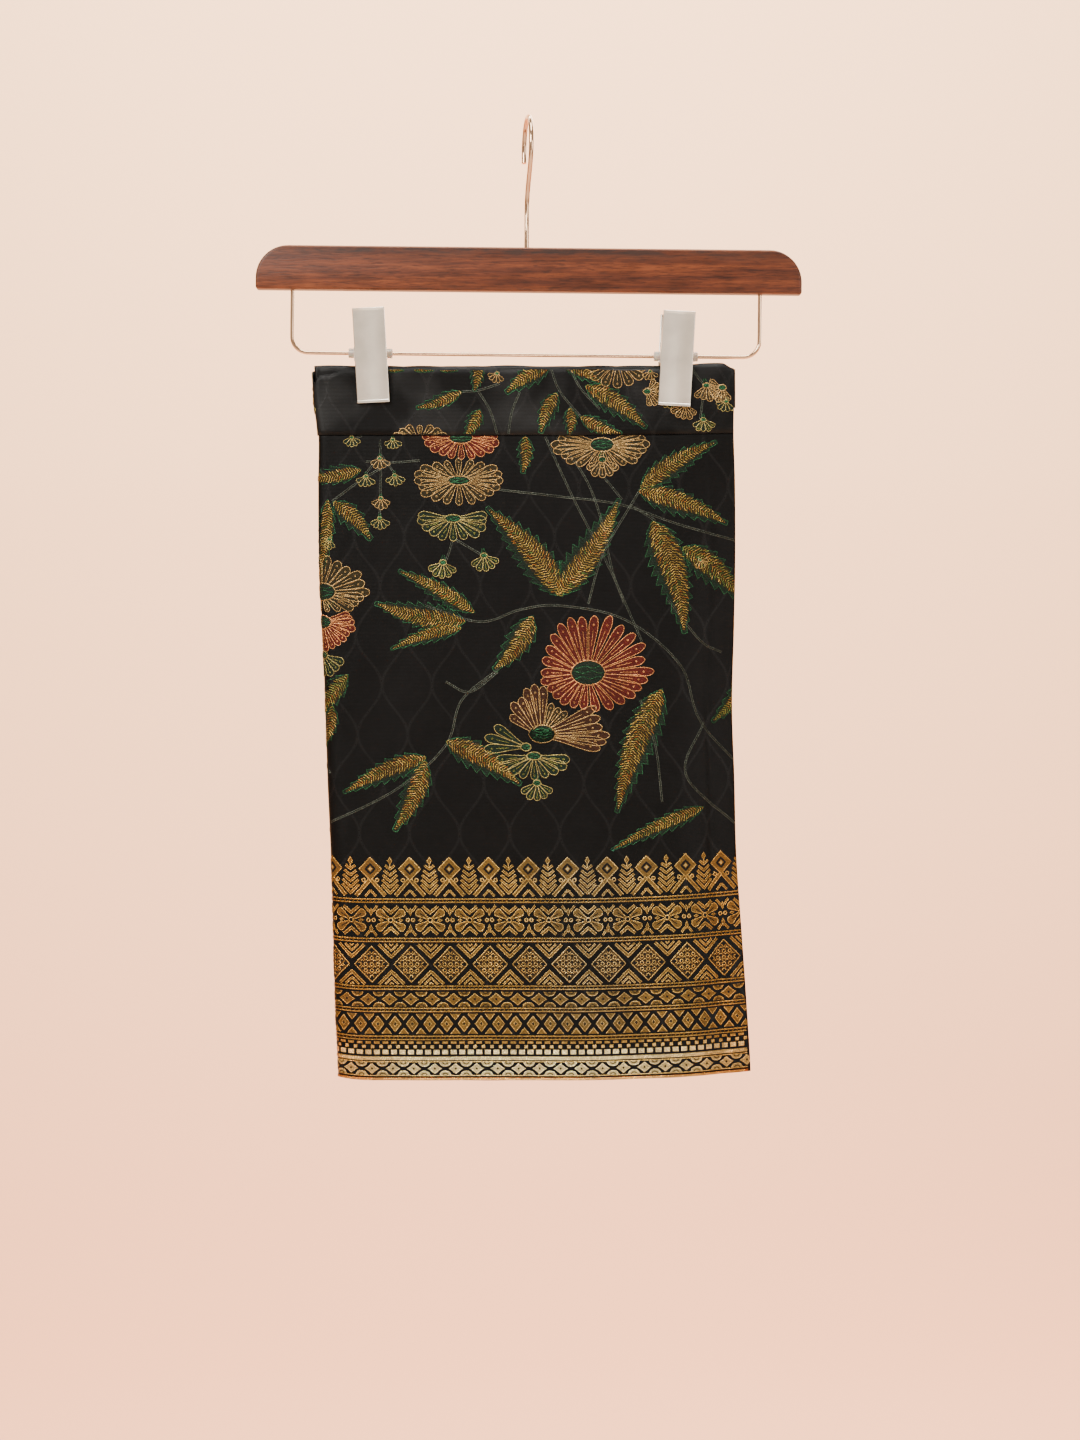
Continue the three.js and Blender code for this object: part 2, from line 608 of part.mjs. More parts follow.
function buildHanger() {
  const hanger = new THREE.Group();
  hanger.rotation.y = HANG_TILT;
  part.add(hanger);
  buildBar(hanger);
  buildHook(hanger);
  buildFrameWire(hanger);
  for (const clip of CLIPS) buildClip(hanger, clip);
}

buildCloth();
buildHanger();

export default part;
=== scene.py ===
import math
import random
import bpy
import bmesh
import numpy as np
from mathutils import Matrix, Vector


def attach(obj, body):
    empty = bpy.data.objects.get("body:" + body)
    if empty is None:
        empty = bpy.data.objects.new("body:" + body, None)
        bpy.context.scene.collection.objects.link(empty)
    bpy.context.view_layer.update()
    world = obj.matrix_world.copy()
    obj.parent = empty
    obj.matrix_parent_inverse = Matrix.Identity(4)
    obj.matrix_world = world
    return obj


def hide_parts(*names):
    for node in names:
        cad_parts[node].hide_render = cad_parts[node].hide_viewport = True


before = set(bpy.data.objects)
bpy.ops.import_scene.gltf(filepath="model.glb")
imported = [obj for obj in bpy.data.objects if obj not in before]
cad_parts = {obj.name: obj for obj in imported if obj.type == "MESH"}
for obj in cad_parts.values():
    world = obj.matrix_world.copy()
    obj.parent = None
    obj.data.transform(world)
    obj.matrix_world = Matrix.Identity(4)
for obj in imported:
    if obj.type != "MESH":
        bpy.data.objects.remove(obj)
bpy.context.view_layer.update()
random.seed(7)
mm = 0.001
print("frame loaded")

# the camera stands level with the middle of the cloth
cam = bpy.data.objects.new("camera", bpy.data.cameras.new("camera"))
bpy.context.collection.objects.link(cam)
cam.location = (0.0079, -2.2, -0.3967)
cam.rotation_euler = (math.radians(90), 0, 0)
cam.data.lens = 83.3
cam.data.clip_end = 30
bpy.context.scene.camera = cam



def newMaterial(name):
    mat = bpy.data.materials.new(name)
    mat.use_nodes = True
    tree = mat.node_tree
    return mat, tree, tree.nodes["Principled BSDF"]


def node(tree, kind, inputs=None, **settings):
    made = tree.nodes.new(kind)
    for key, value in settings.items():
        setattr(made, key, value)
    for key, value in (inputs or {}).items():
        if isinstance(value, bpy.types.NodeSocket):
            tree.links.new(value, made.inputs[key])
        else:
            made.inputs[key].default_value = value
    return made


def maths(tree, operation, first, second=0.0, clamp=False):
    made = node(tree, "ShaderNodeMath", {0: first, 1: second}, operation=operation)
    made.use_clamp = clamp
    return made.outputs[0]


def times(tree, first, second, clamp=False):
    return maths(tree, "MULTIPLY", first, second, clamp)


def plus(tree, first, second):
    return maths(tree, "ADD", first, second)


def mixColour(tree, share, first, second, blend="MIX"):
    made = node(tree, "ShaderNodeMix", data_type="RGBA", blend_type=blend)
    for index, value in ((0, share), (6, first), (7, second)):
        if isinstance(value, bpy.types.NodeSocket):
            tree.links.new(value, made.inputs[index])
        else:
            made.inputs[index].default_value = value
    return made.outputs[2]


def ramp(tree, value, stops):
    made = node(tree, "ShaderNodeValToRGB", {"Fac": value})
    while len(made.color_ramp.elements) < len(stops):
        made.color_ramp.elements.new(0.5)
    for element, (place, grey) in zip(made.color_ramp.elements, stops):
        element.position = place
        element.color = (*grey, 1) if isinstance(grey, tuple) else (grey, grey, grey, 1)
    return made.outputs[0]


def flatPlace(tree):
    # the cloth's own flat coordinates in metres, along it and up
    uv = node(tree, "ShaderNodeUVMap", uv_map="flat")
    apart = node(tree, "ShaderNodeSeparateXYZ", {0: uv.outputs[0]})
    return uv.outputs[0], apart.outputs[0], apart.outputs[1]


def objectPlace(tree):
    return node(tree, "ShaderNodeTexCoord").outputs["Object"]


def noise(tree, vector, scale, detail=3, roughness=0.5):
    return node(tree, "ShaderNodeTexNoise", {
        "Vector": vector, "Scale": scale, "Detail": detail, "Roughness": roughness,
    }).outputs[0]


def stretched(tree, vector, scale):
    return node(tree, "ShaderNodeMapping", {"Vector": vector, "Scale": scale}).outputs[0]


def bump(tree, shader, height, distance, strength=1.0):
    made = node(tree, "ShaderNodeBump", {
        "Height": height, "Distance": distance, "Strength": strength,
    })
    tree.links.new(made.outputs[0], shader.inputs["Normal"])


def wave(tree, value, pitch):
    # a smooth 0 to 1 wave with the given pitch in metres
    turned = maths(tree, "SINE", times(tree, value, 2 * math.pi / pitch))
    return plus(tree, times(tree, turned, 0.5), 0.5)


def makeGround():
    # black satin, with a faint woven trellis that only shows where the light grazes it
    mat, tree, shader = newMaterial("blackSatin")
    uv, along, up = flatPlace(tree)
    trellis = {"wide": 0.033, "tall": 0.065}
    cell = maths(tree, "FRACT", maths(tree, "DIVIDE", along, trellis["wide"]))
    across = times(tree, maths(tree, "ABSOLUTE", maths(tree, "SUBTRACT", cell, 0.5)), 2)
    level = maths(tree, "SUBTRACT", across, wave(tree, up, trellis["tall"]))
    line = maths(tree, "SUBTRACT", 1.0,
                 times(tree, maths(tree, "ABSOLUTE", level), 11), clamp=True)
    warp = wave(tree, along, 0.0007)
    weft = wave(tree, up, 0.0009)
    weave = times(tree, warp, weft)
    cloud = noise(tree, uv, 60, 5, 0.6)
    fleck = noise(tree, uv, 900, 2)
    base = ramp(tree, cloud, [(0.3, (0.0008, 0.0007, 0.0006)), (0.75, (0.002, 0.0018, 0.0016))])
    lit = mixColour(tree, times(tree, line, 0.5), base, (0.011, 0.0105, 0.0103, 1))
    lit = mixColour(tree, times(tree, weave, 0.3), lit, (0.004, 0.0037, 0.0033, 1))
    tree.links.new(lit, shader.inputs["Base Color"])
    rough = plus(tree, times(tree, fleck, 0.16), times(tree, line, -0.1))
    tree.links.new(plus(tree, rough, 0.3), shader.inputs["Roughness"])
    # the waistband is pressed flatter and catches more light, in patches
    onBand = maths(tree, "GREATER_THAN", up, -0.2089)
    patches = ramp(tree, noise(tree, uv, 17, 3, 0.5), [(0.44, 0.0), (0.70, 0.2)])
    tree.links.new(plus(tree, times(tree, onBand, patches), 0.1),
                   shader.inputs["Specular IOR Level"])
    crush = noise(tree, stretched(tree, uv, (1.3, 0.7, 1)), 26, 3, 0.45)
    relief = plus(tree, weave, times(tree, line, 0.6))
    bump(tree, shader, plus(tree, relief, times(tree, crush, 14)), 0.00012, 0.7)
    return mat


def makeThread(name, metallic, roughness, ribs, contrast, shine=0.5):
    # dyed or metal-wrapped thread, its colour painted on the piece, laid in fine level ribs
    mat, tree, shader = newMaterial(name)
    uv, along, up = flatPlace(tree)
    # the dye attribute also carries the painted highlight on the lowest border rows
    dye = node(tree, "ShaderNodeVertexColor", layer_name="dye").outputs[0]
    rows = wave(tree, up, ribs)
    twist = wave(tree, plus(tree, along, times(tree, up, 0.8)), ribs * 1.9)
    mottle = noise(tree, uv, 420, 3, 0.65)
    worn = noise(tree, uv, 48, 3)
    texture = plus(tree, times(tree, rows, 0.5), times(tree, twist, 0.5))
    dark = times(tree, maths(tree, "SUBTRACT", 1.0, texture), contrast, clamp=True)
    colour = mixColour(tree, dark, dye, (0.0004, 0.0003, 0.0002, 1))
    # the fine mottle darkens and brightens the dye: partly random tone, partly painted glints
    lift = ramp(tree, mottle, [(0.3, 0.62), (0.72, 1.35)])
    colour = mixColour(tree, 1.0, colour, lift, "MULTIPLY")
    fade = ramp(tree, worn, [(0.25, 0.82), (0.8, 1.16)])
    colour = mixColour(tree, 1.0, colour, fade, "MULTIPLY")
    tree.links.new(colour, shader.inputs["Base Color"])
    tree.links.new(plus(tree, roughness, times(tree, mottle, 0.18)),
                   shader.inputs["Roughness"])
    shader.inputs["Metallic"].default_value = metallic
    shader.inputs["Specular IOR Level"].default_value = shine
    bump(tree, shader, plus(tree, texture, times(tree, mottle, 5)), 0.00025, 0.8)
    return mat


def makeTape():
    mat, tree, shader = newMaterial("closureTape")
    place = objectPlace(tree)
    fuzz = noise(tree, place, 1400, 4, 0.7)
    colour = ramp(tree, fuzz, [(0.35, (0.006, 0.006, 0.007)), (0.7, (0.022, 0.022, 0.024))])
    tree.links.new(colour, shader.inputs["Base Color"])
    shader.inputs["Roughness"].default_value = 0.95
    bump(tree, shader, fuzz, 0.0006)
    return mat


def makeWood():
    # stained red brown beech: fine long grain, dark stain along the top, a painted highlight along
    # the top edge
    mat, tree, shader = newMaterial("stainedBeech")
    place = objectPlace(tree)
    apart = node(tree, "ShaderNodeSeparateXYZ", {0: place})
    lean = times(tree, apart.outputs[0], 0.0105)
    level = plus(tree, apart.outputs[2], lean)
    streaks = noise(tree, stretched(tree, place, (5, 130, 130)), 3.2, 7, 0.6)
    mottle = noise(tree, stretched(tree, place, (16, 60, 60)), 2.5, 6, 0.65)
    pores = noise(tree, stretched(tree, place, (70, 700, 700)), 1.6, 3, 0.5)
    base = ramp(tree, streaks, [
        (0.3, (0.040, 0.008, 0.0025)), (0.5, (0.092, 0.020, 0.005)), (0.72, (0.165, 0.040, 0.010)),
    ])
    shade = ramp(tree, mottle, [(0.36, 0.66), (0.62, 1.12)])
    colour = mixColour(tree, 1.0, base, shade, "MULTIPLY")
    speck = ramp(tree, pores, [(0.36, 0.55), (0.47, 1.0)])
    colour = mixColour(tree, 1.0, colour, speck, "MULTIPLY")
    high = times(tree, plus(tree, level, 0.0955), 140, clamp=True)
    patches = ramp(tree, mottle, [(0.4, 0.0), (0.56, 0.8)])
    colour = mixColour(tree, times(tree, high, patches), colour, (0.012, 0.006, 0.004, 1))
    # painted highlight: a thin paler strip along the rounded top edge
    edge = times(tree, plus(tree, level, 0.0866), 1800, clamp=True)
    colour = mixColour(tree, times(tree, edge, 0.75), colour, (0.26, 0.075, 0.018, 1))
    tree.links.new(colour, shader.inputs["Base Color"])
    tree.links.new(ramp(tree, mottle, [(0.2, 0.36), (0.8, 0.5)]), shader.inputs["Roughness"])
    shader.inputs["Specular IOR Level"].default_value = 0.3
    shader.inputs["Coat Weight"].default_value = 0.08
    shader.inputs["Coat Roughness"].default_value = 0.22
    bump(tree, shader, pores, 0.0002, 0.5)
    return mat


def makeMetal(name, colour, rough, brush, spread):
    mat, tree, shader = newMaterial(name)
    place = objectPlace(tree)
    lines = noise(tree, stretched(tree, place, brush), 30, 4, 0.6)
    smudge = noise(tree, place, 55, 3)
    tone = ramp(tree, smudge, [(0.3, 0.86), (0.7, 1.06)])
    tree.links.new(mixColour(tree, 1.0, (*colour, 1), tone, "MULTIPLY"),
                   shader.inputs["Base Color"])
    tree.links.new(plus(tree, rough, times(tree, lines, spread)),
                   shader.inputs["Roughness"])
    shader.inputs["Metallic"].default_value = 1.0
    bump(tree, shader, lines, 0.00004, 0.4)
    return mat


def makeSleevePlastic():
    mat, tree, shader = newMaterial("milkySleeve")
    place = objectPlace(tree)
    cloud = noise(tree, place, 240, 3)
    colour = ramp(tree, cloud, [(0.3, (0.72, 0.60, 0.48)), (0.7, (0.88, 0.78, 0.66))])
    tree.links.new(colour, shader.inputs["Base Color"])
    shader.inputs["Roughness"].default_value = 0.32
    shader.inputs["Transmission Weight"].default_value = 0.6
    shader.inputs["Subsurface Weight"].default_value = 0.2
    bump(tree, shader, cloud, 0.0001, 0.5)
    return mat


mats = {
    "ground": makeGround(),
    "fill": makeThread("silkFloss", 0.05, 0.45, 0.0011, 0.5, 0.14),
    "gold": makeThread("goldThread", 0.9, 0.15, 0.0009, 0.4),
    "tape": makeTape(),
    "wood": makeWood(),
    "nickel": makeMetal("warmNickel", (0.66, 0.43, 0.27), 0.09, (40, 40, 2), 0.08),
    "steel": makeMetal("satinSteel", (0.84, 0.765, 0.66), 0.24, (4, 40, 60), 0.2),
    "sleeve": makeSleevePlastic(),
}
print("materials made")


# the folded cloth, worked in millimetres

cloth = {
    "seamZ": -208.9, "hemZ": -633.6, "bandTop": -165.3, "bandBackRise": 2.2, "bandProud": 0.8,
    "ply": 1.2, "gap": 0.3, "curlWidth": 66, "liftFrom": 20, "leftLift": 2.0, "leftLiftWidth": 26,
    "backTrim": 2.5, "innerTrim": 4.5, "innerHemRise": 3.0, "backHemRise": 1.5,
    "lean": 0.017, "thick": 0.7, "hemWidth": 17, "backWidth": 295, "bandBackWidth": 285,
}
# height, left, right, half the stack, roll of the fold, curl of the edge, lift of the rows
sections = np.array([
    (-160, -142.4, 135.6, 3.0, 3.6, 0.0, 0.6), (-187, -140.9, 135.8, 3.0, 4.0, 0.6, 1.0),
    (-209, -138.4, 135.7, 3.5, 4.8, 2.4, 1.6), (-240, -138.6, 136.8, 4.2, 6.2, 6.4, 2.0),
    (-290, -138.2, 137.3, 5.0, 8.0, 12.0, 2.6), (-340, -135.8, 136.6, 5.6, 9.4, 16.0, 3.1),
    (-390, -134.0, 135.4, 6.2, 10.6, 18.0, 3.6), (-440, -132.4, 137.0, 6.7, 11.6, 19.0, 4.1),
    (-490, -130.2, 138.2, 7.2, 12.6, 19.0, 4.6), (-540, -128.8, 141.4, 7.6, 13.4, 15.5, 4.9),
    (-590, -127.4, 144.6, 7.9, 14.2, 11.5, 5.2), (-640, -125.2, 147.2, 8.2, 14.8, 8.5, 5.4),
])
# x at the top, lean, width, depth outwards, share of the way down where it starts and is full
frontFolds = [
    (-104, 14, 15, -0.8, 0.02, 0.45), (-76, 6, 20, 0.9, 0.1, 0.9), (-22, -8, 26, -0.9, 0.25, 1),
    (34, 4, 22, 1.0, 0.2, 0.95), (78, -6, 16, -1.0, 0.05, 0.6), (102, 4, 12, 1.1, 0.3, 1),
    (118, 9, 6, -1.3, 0.1, 0.95),
]
backFolds = [
    (-98, -6, 18, 0.9, 0.05, 0.7), (-52, 9, 24, -1.0, 0.15, 0.9), (-4, -5, 18, 1.1, 0.3, 1),
    (46, 10, 26, -0.9, 0.1, 0.85), (92, 2, 16, 1.0, 0.2, 0.9),
]
# small creases and puckers: x, z, across, up, depth outwards, slant
frontPuckers = [
    (-96, -236, 7, 30, 0.35, 0.12), (-58, -228, 5, 20, -0.3, -0.1), (-14, -232, 6, 26, 0.3, 0.05),
    (22, -226, 5, 18, -0.3, 0.1), (58, -238, 7, 34, 0.35, -0.12), (96, -230, 5, 24, -0.35, 0.1),
    (117, -262, 5, 9, 0.5, 0.5), (119, -316, 5, 12, -0.5, 0.4), (118, -352, 6, 10, 0.45, 0.5),
    (121, -398, 5, 13, -0.45, 0.5), (120, -446, 6, 9, 0.5, 0.4), (123, -486, 5, 12, -0.4, 0.5),
    (125, -534, 5, 10, 0.45, 0.4), (127, -574, 5, 9, -0.4, 0.4), (-64, -330, 9, 70, 0.3, 0.1),
    (-8, -380, 10, 90, -0.35, -0.06), (46, -350, 8, 60, 0.3, 0.1), (72, -450, 9, 80, -0.3, 0.05),
    (-92, -470, 9, 60, 0.3, 0.15), (-36, -560, 8, 50, 0.3, -0.05), (14, -540, 8, 60, -0.25, 0.1),
]
backPuckers = [
    (-84, -240, 7, 34, 0.35, -0.1), (-40, -230, 5, 22, -0.3, 0.1), (8, -234, 6, 30, 0.35, 0.05),
    (50, -228, 5, 20, -0.3, -0.1), (88, -242, 7, 30, 0.3, 0.1), (-70, -370, 9, 80, -0.35, 0.1),
    (-16, -420, 10, 70, 0.3, -0.1), (30, -350, 8, 60, -0.3, 0.05), (70, -470, 9, 90, 0.3, 0.1),
    (-46, -530, 8, 60, 0.3, 0.1), (12, -560, 8, 50, -0.25, -0.05), (104, -400, 7, 60, 0.35, 0.1),
]


def ease(share):
    share = np.clip(share, 0, 1)
    return share * share * (3 - 2 * share)


def curveBetween(p0, p1, p2, p3, t):
    # an even curve from p1 to p2, led by the points on either side
    return 0.5 * (2 * p1 + (p2 - p0) * t + (2 * p0 - 5 * p1 + 4 * p2 - p3) * t * t
                  + (3 * p1 - p0 - 3 * p2 + p3) * t ** 3)


def sectionTable(step):
    # the sections eased through every step of height
    heights = np.arange(-158, -642, -step)
    rows, last = [], len(sections) - 1
    for z in heights:
        k = int(np.clip(np.searchsorted(-sections[:, 0], -z, side="right") - 1, 0, last - 1))
        p0, p1, p2, p3 = (sections[int(np.clip(k + i, 0, last))] for i in (-1, 0, 1, 2))
        t = float(np.clip((p1[0] - z) / (p1[0] - p2[0]), 0, 1))
        rows.append(curveBetween(p0, p1, p2, p3, t))
    return heights, np.array(rows)


tableZ, tableRows = sectionTable(2)


def section(name, z):
    column = {"left": 1, "right": 2, "half": 3, "roll": 4, "curl": 5, "lift": 6}[name]
    return np.interp(-np.asarray(z), -tableZ, tableRows[:, column])


def shareDown(z):
    return np.maximum(0, (cloth["seamZ"] - z) / (cloth["seamZ"] - cloth["hemZ"]))


def creaseDepth(folds, puckers, x, z):
    share = shareDown(z)
    depth = np.zeros_like(x)
    for at, lean, width, out, start, full in folds:
        fade = ease((share - start) / (full - start))
        depth += out * fade * np.exp(-(((x - at - lean * share) / width) ** 2))
    below = ease((cloth["seamZ"] - z) / 14)
    for at, height, across, up, out, slant in puckers:
        off = x - at - slant * (height - z)
        depth += out * below * np.exp(-((off / across) ** 2) - (((z - height) / up) ** 2))
    return depth


def clothY(side, x, z, inset):
    # the outer surface of the stack, side is -1 at the front and 1 at the back
    width = cloth["curlWidth"]
    swing = np.maximum(0, (x - (section("right", z) - width)) / width)
    curl = section("curl", z)
    stretch = np.hypot(1, 2 * curl * swing / width)
    if side < 0:
        # the side hem's stitched line draws the cloth in
        hem = x - (section("right", z) - cloth["hemWidth"] - 0.6 * np.sin(z / 31))
        drawn = ease((cloth["seamZ"] - z) / 4) * (0.42 + 0.2 * np.sin(z / 5.5) * np.sin(z / 17))
        out = creaseDepth(frontFolds, frontPuckers, x, z) - drawn * np.exp(-((hem / 1.5) ** 2))
        out = out + 0.25 * ease(hem / 4) * ease((cloth["seamZ"] - z) / 4)
    else:
        out = creaseDepth(backFolds, backPuckers, x, z)
    return curl * swing ** 2 + side * (section("half", z) - inset * stretch + out)


def rowLift(x, z):
    right = np.maximum(0, (x - cloth["liftFrom"]) / (section("right", z) - cloth["liftFrom"]))
    left = np.maximum(0, 1 - (x - section("left", z)) / cloth["leftLiftWidth"])
    return section("lift", z) * right ** 2 + cloth["leftLift"] * shareDown(z) * left ** 2


# points along each flat run of a row, and the height between two rows
runPoints, rowStep = 240, 4.0


def foldedRow(z, proud):
    # one row of the strip seen from above, from the free end round both folds to the hidden end
    left, right, roll = section("left", z), section("right", z), section("roll", z)
    foldX = left + roll
    ply, gap = cloth["ply"], cloth["gap"]
    pieces = []

    def flatRun(side, x0, x1, inset):
        x = np.linspace(x0, x1, runPoints)
        pieces.append(np.stack([x, clothY(side, x, z, inset)], 1))

    def turn(angles, inset):
        start = clothY(-1, np.array([foldX]), z, inset)[0]
        end = clothY(1, np.array([foldX]), z, inset)[0]
        x = foldX - (roll - inset) * np.sin(angles)
        pieces.append(np.stack([x, start + (end - start) * (1 - np.cos(angles)) / 2], 1))

    outer = -proud
    lap = ply + gap + 0.1
    bend = (lap - outer) / 2
    endX = right - cloth["backTrim"] - bend
    flatRun(-1, right, foldX, outer)
    turn(np.linspace(0, math.pi, 26)[1:-1], outer)
    flatRun(1, foldX, endX, outer)
    angles = np.linspace(0, math.pi, 9)[1:-1]
    middle = (clothY(1, np.array([endX]), z, outer)[0] + clothY(1, np.array([endX]), z, lap)[0]) / 2
    pieces.append(np.stack([endX + bend * np.sin(angles), middle + bend * np.cos(angles)], 1))
    flatRun(1, endX, foldX, lap)
    turn(np.linspace(math.pi, 0, 26)[1:-1], lap)
    flatRun(-1, foldX, right - cloth["innerTrim"], lap + 1.0)
    return np.concatenate(pieces)


def clothSheet(proud):
    # x, y of the sheet on an even grid: a row for each height, a column for each mm along it.
    # along is 0 on the weave's own upright line, positive towards the free end
    heights = np.arange(-160, -637, -rowStep)
    along = np.arange(150, -1010, -1.0)
    places = np.zeros((len(heights), len(along), 2))
    ends = np.zeros((len(heights), 3))
    for j, z in enumerate(heights):
        row = foldedRow(z, proud)
        steps = np.hypot(*np.diff(row, axis=0).T)
        run = np.concatenate([[0], np.cumsum(steps)])
        middleX = cloth["lean"] * (cloth["seamZ"] - z)
        free = np.interp(-middleX, -row[:runPoints, 0], run[:runPoints])
        u = free - run
        ends[j] = (u[0], u[runPoints - 1], u[-1])
        first = row[0] + (row[0] - row[1]) / steps[0] * np.maximum(0, along - u[0])[:, None]
        for k in (0, 1):
            places[j, :, k] = np.interp(-along, -u, row[:, k])
            places[j, :, k] = np.where(along > u[0], first[:, k], places[j, :, k])
    return {"heights": heights, "along": along, "places": places, "ends": ends}


sheets = {"body": clothSheet(0), "band": clothSheet(cloth["bandProud"])}


def sheetEnds(name, z):
    # along the sheet: the free end, where the left fold begins, and the hidden end
    sheet = sheets[name]
    return [np.interp(-np.asarray(z), -sheet["heights"], sheet["ends"][:, k]) for k in range(3)]


def bentPoint(sheet, u, z):
    row = np.clip((sheet["heights"][0] - z) / rowStep, 0, len(sheet["heights"]) - 1.001)
    col = np.clip(sheet["along"][0] - u, 0, len(sheet["along"]) - 1.001)
    r, c = row.astype(int), col.astype(int)
    fr, fc = (row - r)[:, None], (col - c)[:, None]
    p = sheet["places"]
    xy = ((p[r, c] * (1 - fc) + p[r, c + 1] * fc) * (1 - fr)
          + (p[r + 1, c] * (1 - fc) + p[r + 1, c + 1] * fc) * fr)
    return np.stack([xy[:, 0], xy[:, 1], z + rowLift(xy[:, 0], z)], 1)


def onCloth(name, flat):
    # flat is rows of along, height and how far out; gives metres
    sheet = sheets[name]
    u, z, out = flat[:, 0], flat[:, 1], flat[:, 2]
    here = bentPoint(sheet, u, z)
    along = bentPoint(sheet, u + 0.6, z) - bentPoint(sheet, u - 0.6, z)
    up = bentPoint(sheet, u, z + 1.5) - bentPoint(sheet, u, z - 1.5)
    normal = np.cross(along, up)
    normal /= np.linalg.norm(normal, axis=1)[:, None] + 1e-12
    return (here + normal * out[:, None]) * mm


def meshPiece(name, points, faces, uv=None, slots=None, dyes=None, materials=()):
    data = bpy.data.meshes.new(name)
    data.from_pydata(points.tolist(), [], faces)
    for mat in materials:
        data.materials.append(mat)
    if slots is not None:
        data.polygons.foreach_set("material_index", slots)
    if uv is not None:
        layer = data.uv_layers.new(name="flat")
        corner = np.zeros(len(data.loops), dtype=int)
        data.loops.foreach_get("vertex_index", corner)
        layer.data.foreach_set("uv", (uv[corner] * mm).ravel())
    if dyes is not None:
        layer = data.color_attributes.new("dye", "FLOAT_COLOR", "POINT")
        layer.data.foreach_set("color", np.hstack([dyes, np.ones((len(dyes), 1))]).ravel())
    data.polygons.foreach_set("use_smooth", [True] * len(data.polygons))
    data.update()
    piece = bpy.data.objects.new(name, data)
    bpy.context.collection.objects.link(piece)
    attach(piece, "root")
    return piece


def bandTopEdge(u):
    # the top edge stands up at the free end, dips into the fold and is higher at the back
    free, fold, _ = sheetEnds("band", np.full_like(u, -170))
    near = free - u
    turned = np.clip((fold - u) / 13.0, 0, 1) * 8
    station = np.where(u > fold, (fold - u) / 13.3, turned)
    shoulder = 3.0 * ease((52 - near) / 30) - 3.4 * ease(1 - near / 8)
    backFold = -4.2 * np.exp(-(((fold - cloth["bandBackWidth"] - u) / 13) ** 2))
    dip = 6.5 * np.exp(-(((station - 2) / 1.6) ** 2))
    # the folded corner hangs a little low
    corner = 2.4 * ease((22 - np.abs(u - fold + 6)) / 9)
    wander = 0.35 * np.sin(u / 17.0) + 0.25 * np.sin(u / 6.3 + 1)
    rise = cloth["bandBackRise"] * ease((station - 1) / 7)
    return cloth["bandTop"] + (shoulder - corner) + backFold - dip + rise + wander


def hemEdge(u):
    free, fold, _ = sheetEnds("body", np.full_like(u, cloth["hemZ"]))
    back = ease((fold - u) / 40)
    hidden = ease((-262 + fold - u) / 60)
    wander = 0.2 * np.sin(u / 23.0) + 0.15 * np.sin(u / 9.1 + 2)
    return (cloth["hemZ"] + cloth["backHemRise"] * back
            + (cloth["innerHemRise"] - cloth["backHemRise"]) * hidden + wander)


def alongColumns(name, flatStep, foldStep):
    # shares of the way along a row: fine at the free end and round the folds
    free, fold, end = (float(v) for v in sheetEnds(name, np.array(-400.0)))
    marks = [free]
    while marks[-1] > end:
        u = marks[-1]
        backFold = fold - cloth["backWidth"]
        tight = (fold - 34 < u < fold + 8 or backFold - 14 < u < backFold + 14
                 or backFold - 300 < u < backFold - 250 or u > free - 22)
        marks.append(u - (foldStep if tight else flatStep))
    return (free - np.array(marks)) / (free - end)


def gridFaces(rows, count):
    # four-sided faces over rows of points, count in each
    corners = [j * count + i for j in range(rows - 1) for i in range(count - 1)]
    return [(a, a + 1, a + count + 1, a + count) for a in corners]


def sheetPiece(name, sheet, topOf, bottomOf, rows, flatStep, foldStep, material):
    shares = np.unique(np.clip(alongColumns(sheet, flatStep, foldStep), 0, 1))
    downs = np.linspace(0, 1, rows + 1)
    flat = []
    for down in downs:
        # a first guess of the place along the sheet, put right twice
        roughU = 137 - shares * 1100
        z = topOf(roughU) + (bottomOf(roughU) - topOf(roughU)) * down
        for _ in range(2):
            free, _, end = sheetEnds(sheet, z)
            u = free + (end - free) * shares
            z = topOf(u) + (bottomOf(u) - topOf(u)) * down
        flat.append(np.stack([u, z, np.zeros_like(u)], 1))
    flat = np.concatenate(flat)
    return meshPiece(name, onCloth(sheet, flat), gridFaces(rows + 1, len(shares)),
                     uv=flat[:, :2], materials=[material])


def alone(piece):
    bpy.ops.object.select_all(action="DESELECT")
    piece.select_set(True)
    bpy.context.view_layer.objects.active = piece


def applied(piece, kind, **settings):
    alone(piece)
    modifier = piece.modifiers.new(kind.lower(), kind)
    for key, value in settings.items():
        setattr(modifier, key, value)
    bpy.ops.object.modifier_apply(modifier=modifier.name)


body = sheetPiece("bodyCloth", "body", lambda u: np.full_like(u, cloth["seamZ"] + 3),
                  hemEdge, 84, 3.0, 1.5, mats["ground"])
applied(body, "SOLIDIFY", thickness=cloth["thick"] * mm, offset=-1)
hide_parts("body_wrap", "inner_widths")
print("body cloth folded")

band = sheetPiece("waistbandCloth", "band", bandTopEdge,
                  lambda u: np.full_like(u, cloth["seamZ"]), 12, 3.0, 1.2, mats["ground"])
applied(band, "SOLIDIFY", thickness=cloth["thick"] * mm, offset=-1)
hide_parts("waistband", "inner_waistband")
print("waistband folded")


# the closure tape inside the free end of the waistband

tapeUs, tapeZs = np.linspace(1.0, -16, 8), np.linspace(-166, -192, 9)
tapeFlat = []
for z in tapeZs:
    free = float(sheetEnds("band", np.array(z))[0])
    for du in tapeUs:
        tapeFlat.append((free + du, z, -1.0))
tape = meshPiece("closureTape", onCloth("band", np.array(tapeFlat)),
                 gridFaces(len(tapeZs), len(tapeUs)), materials=[mats["tape"]])
applied(tape, "SOLIDIFY", thickness=1.1 * mm, offset=-1)
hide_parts("closure_tape")


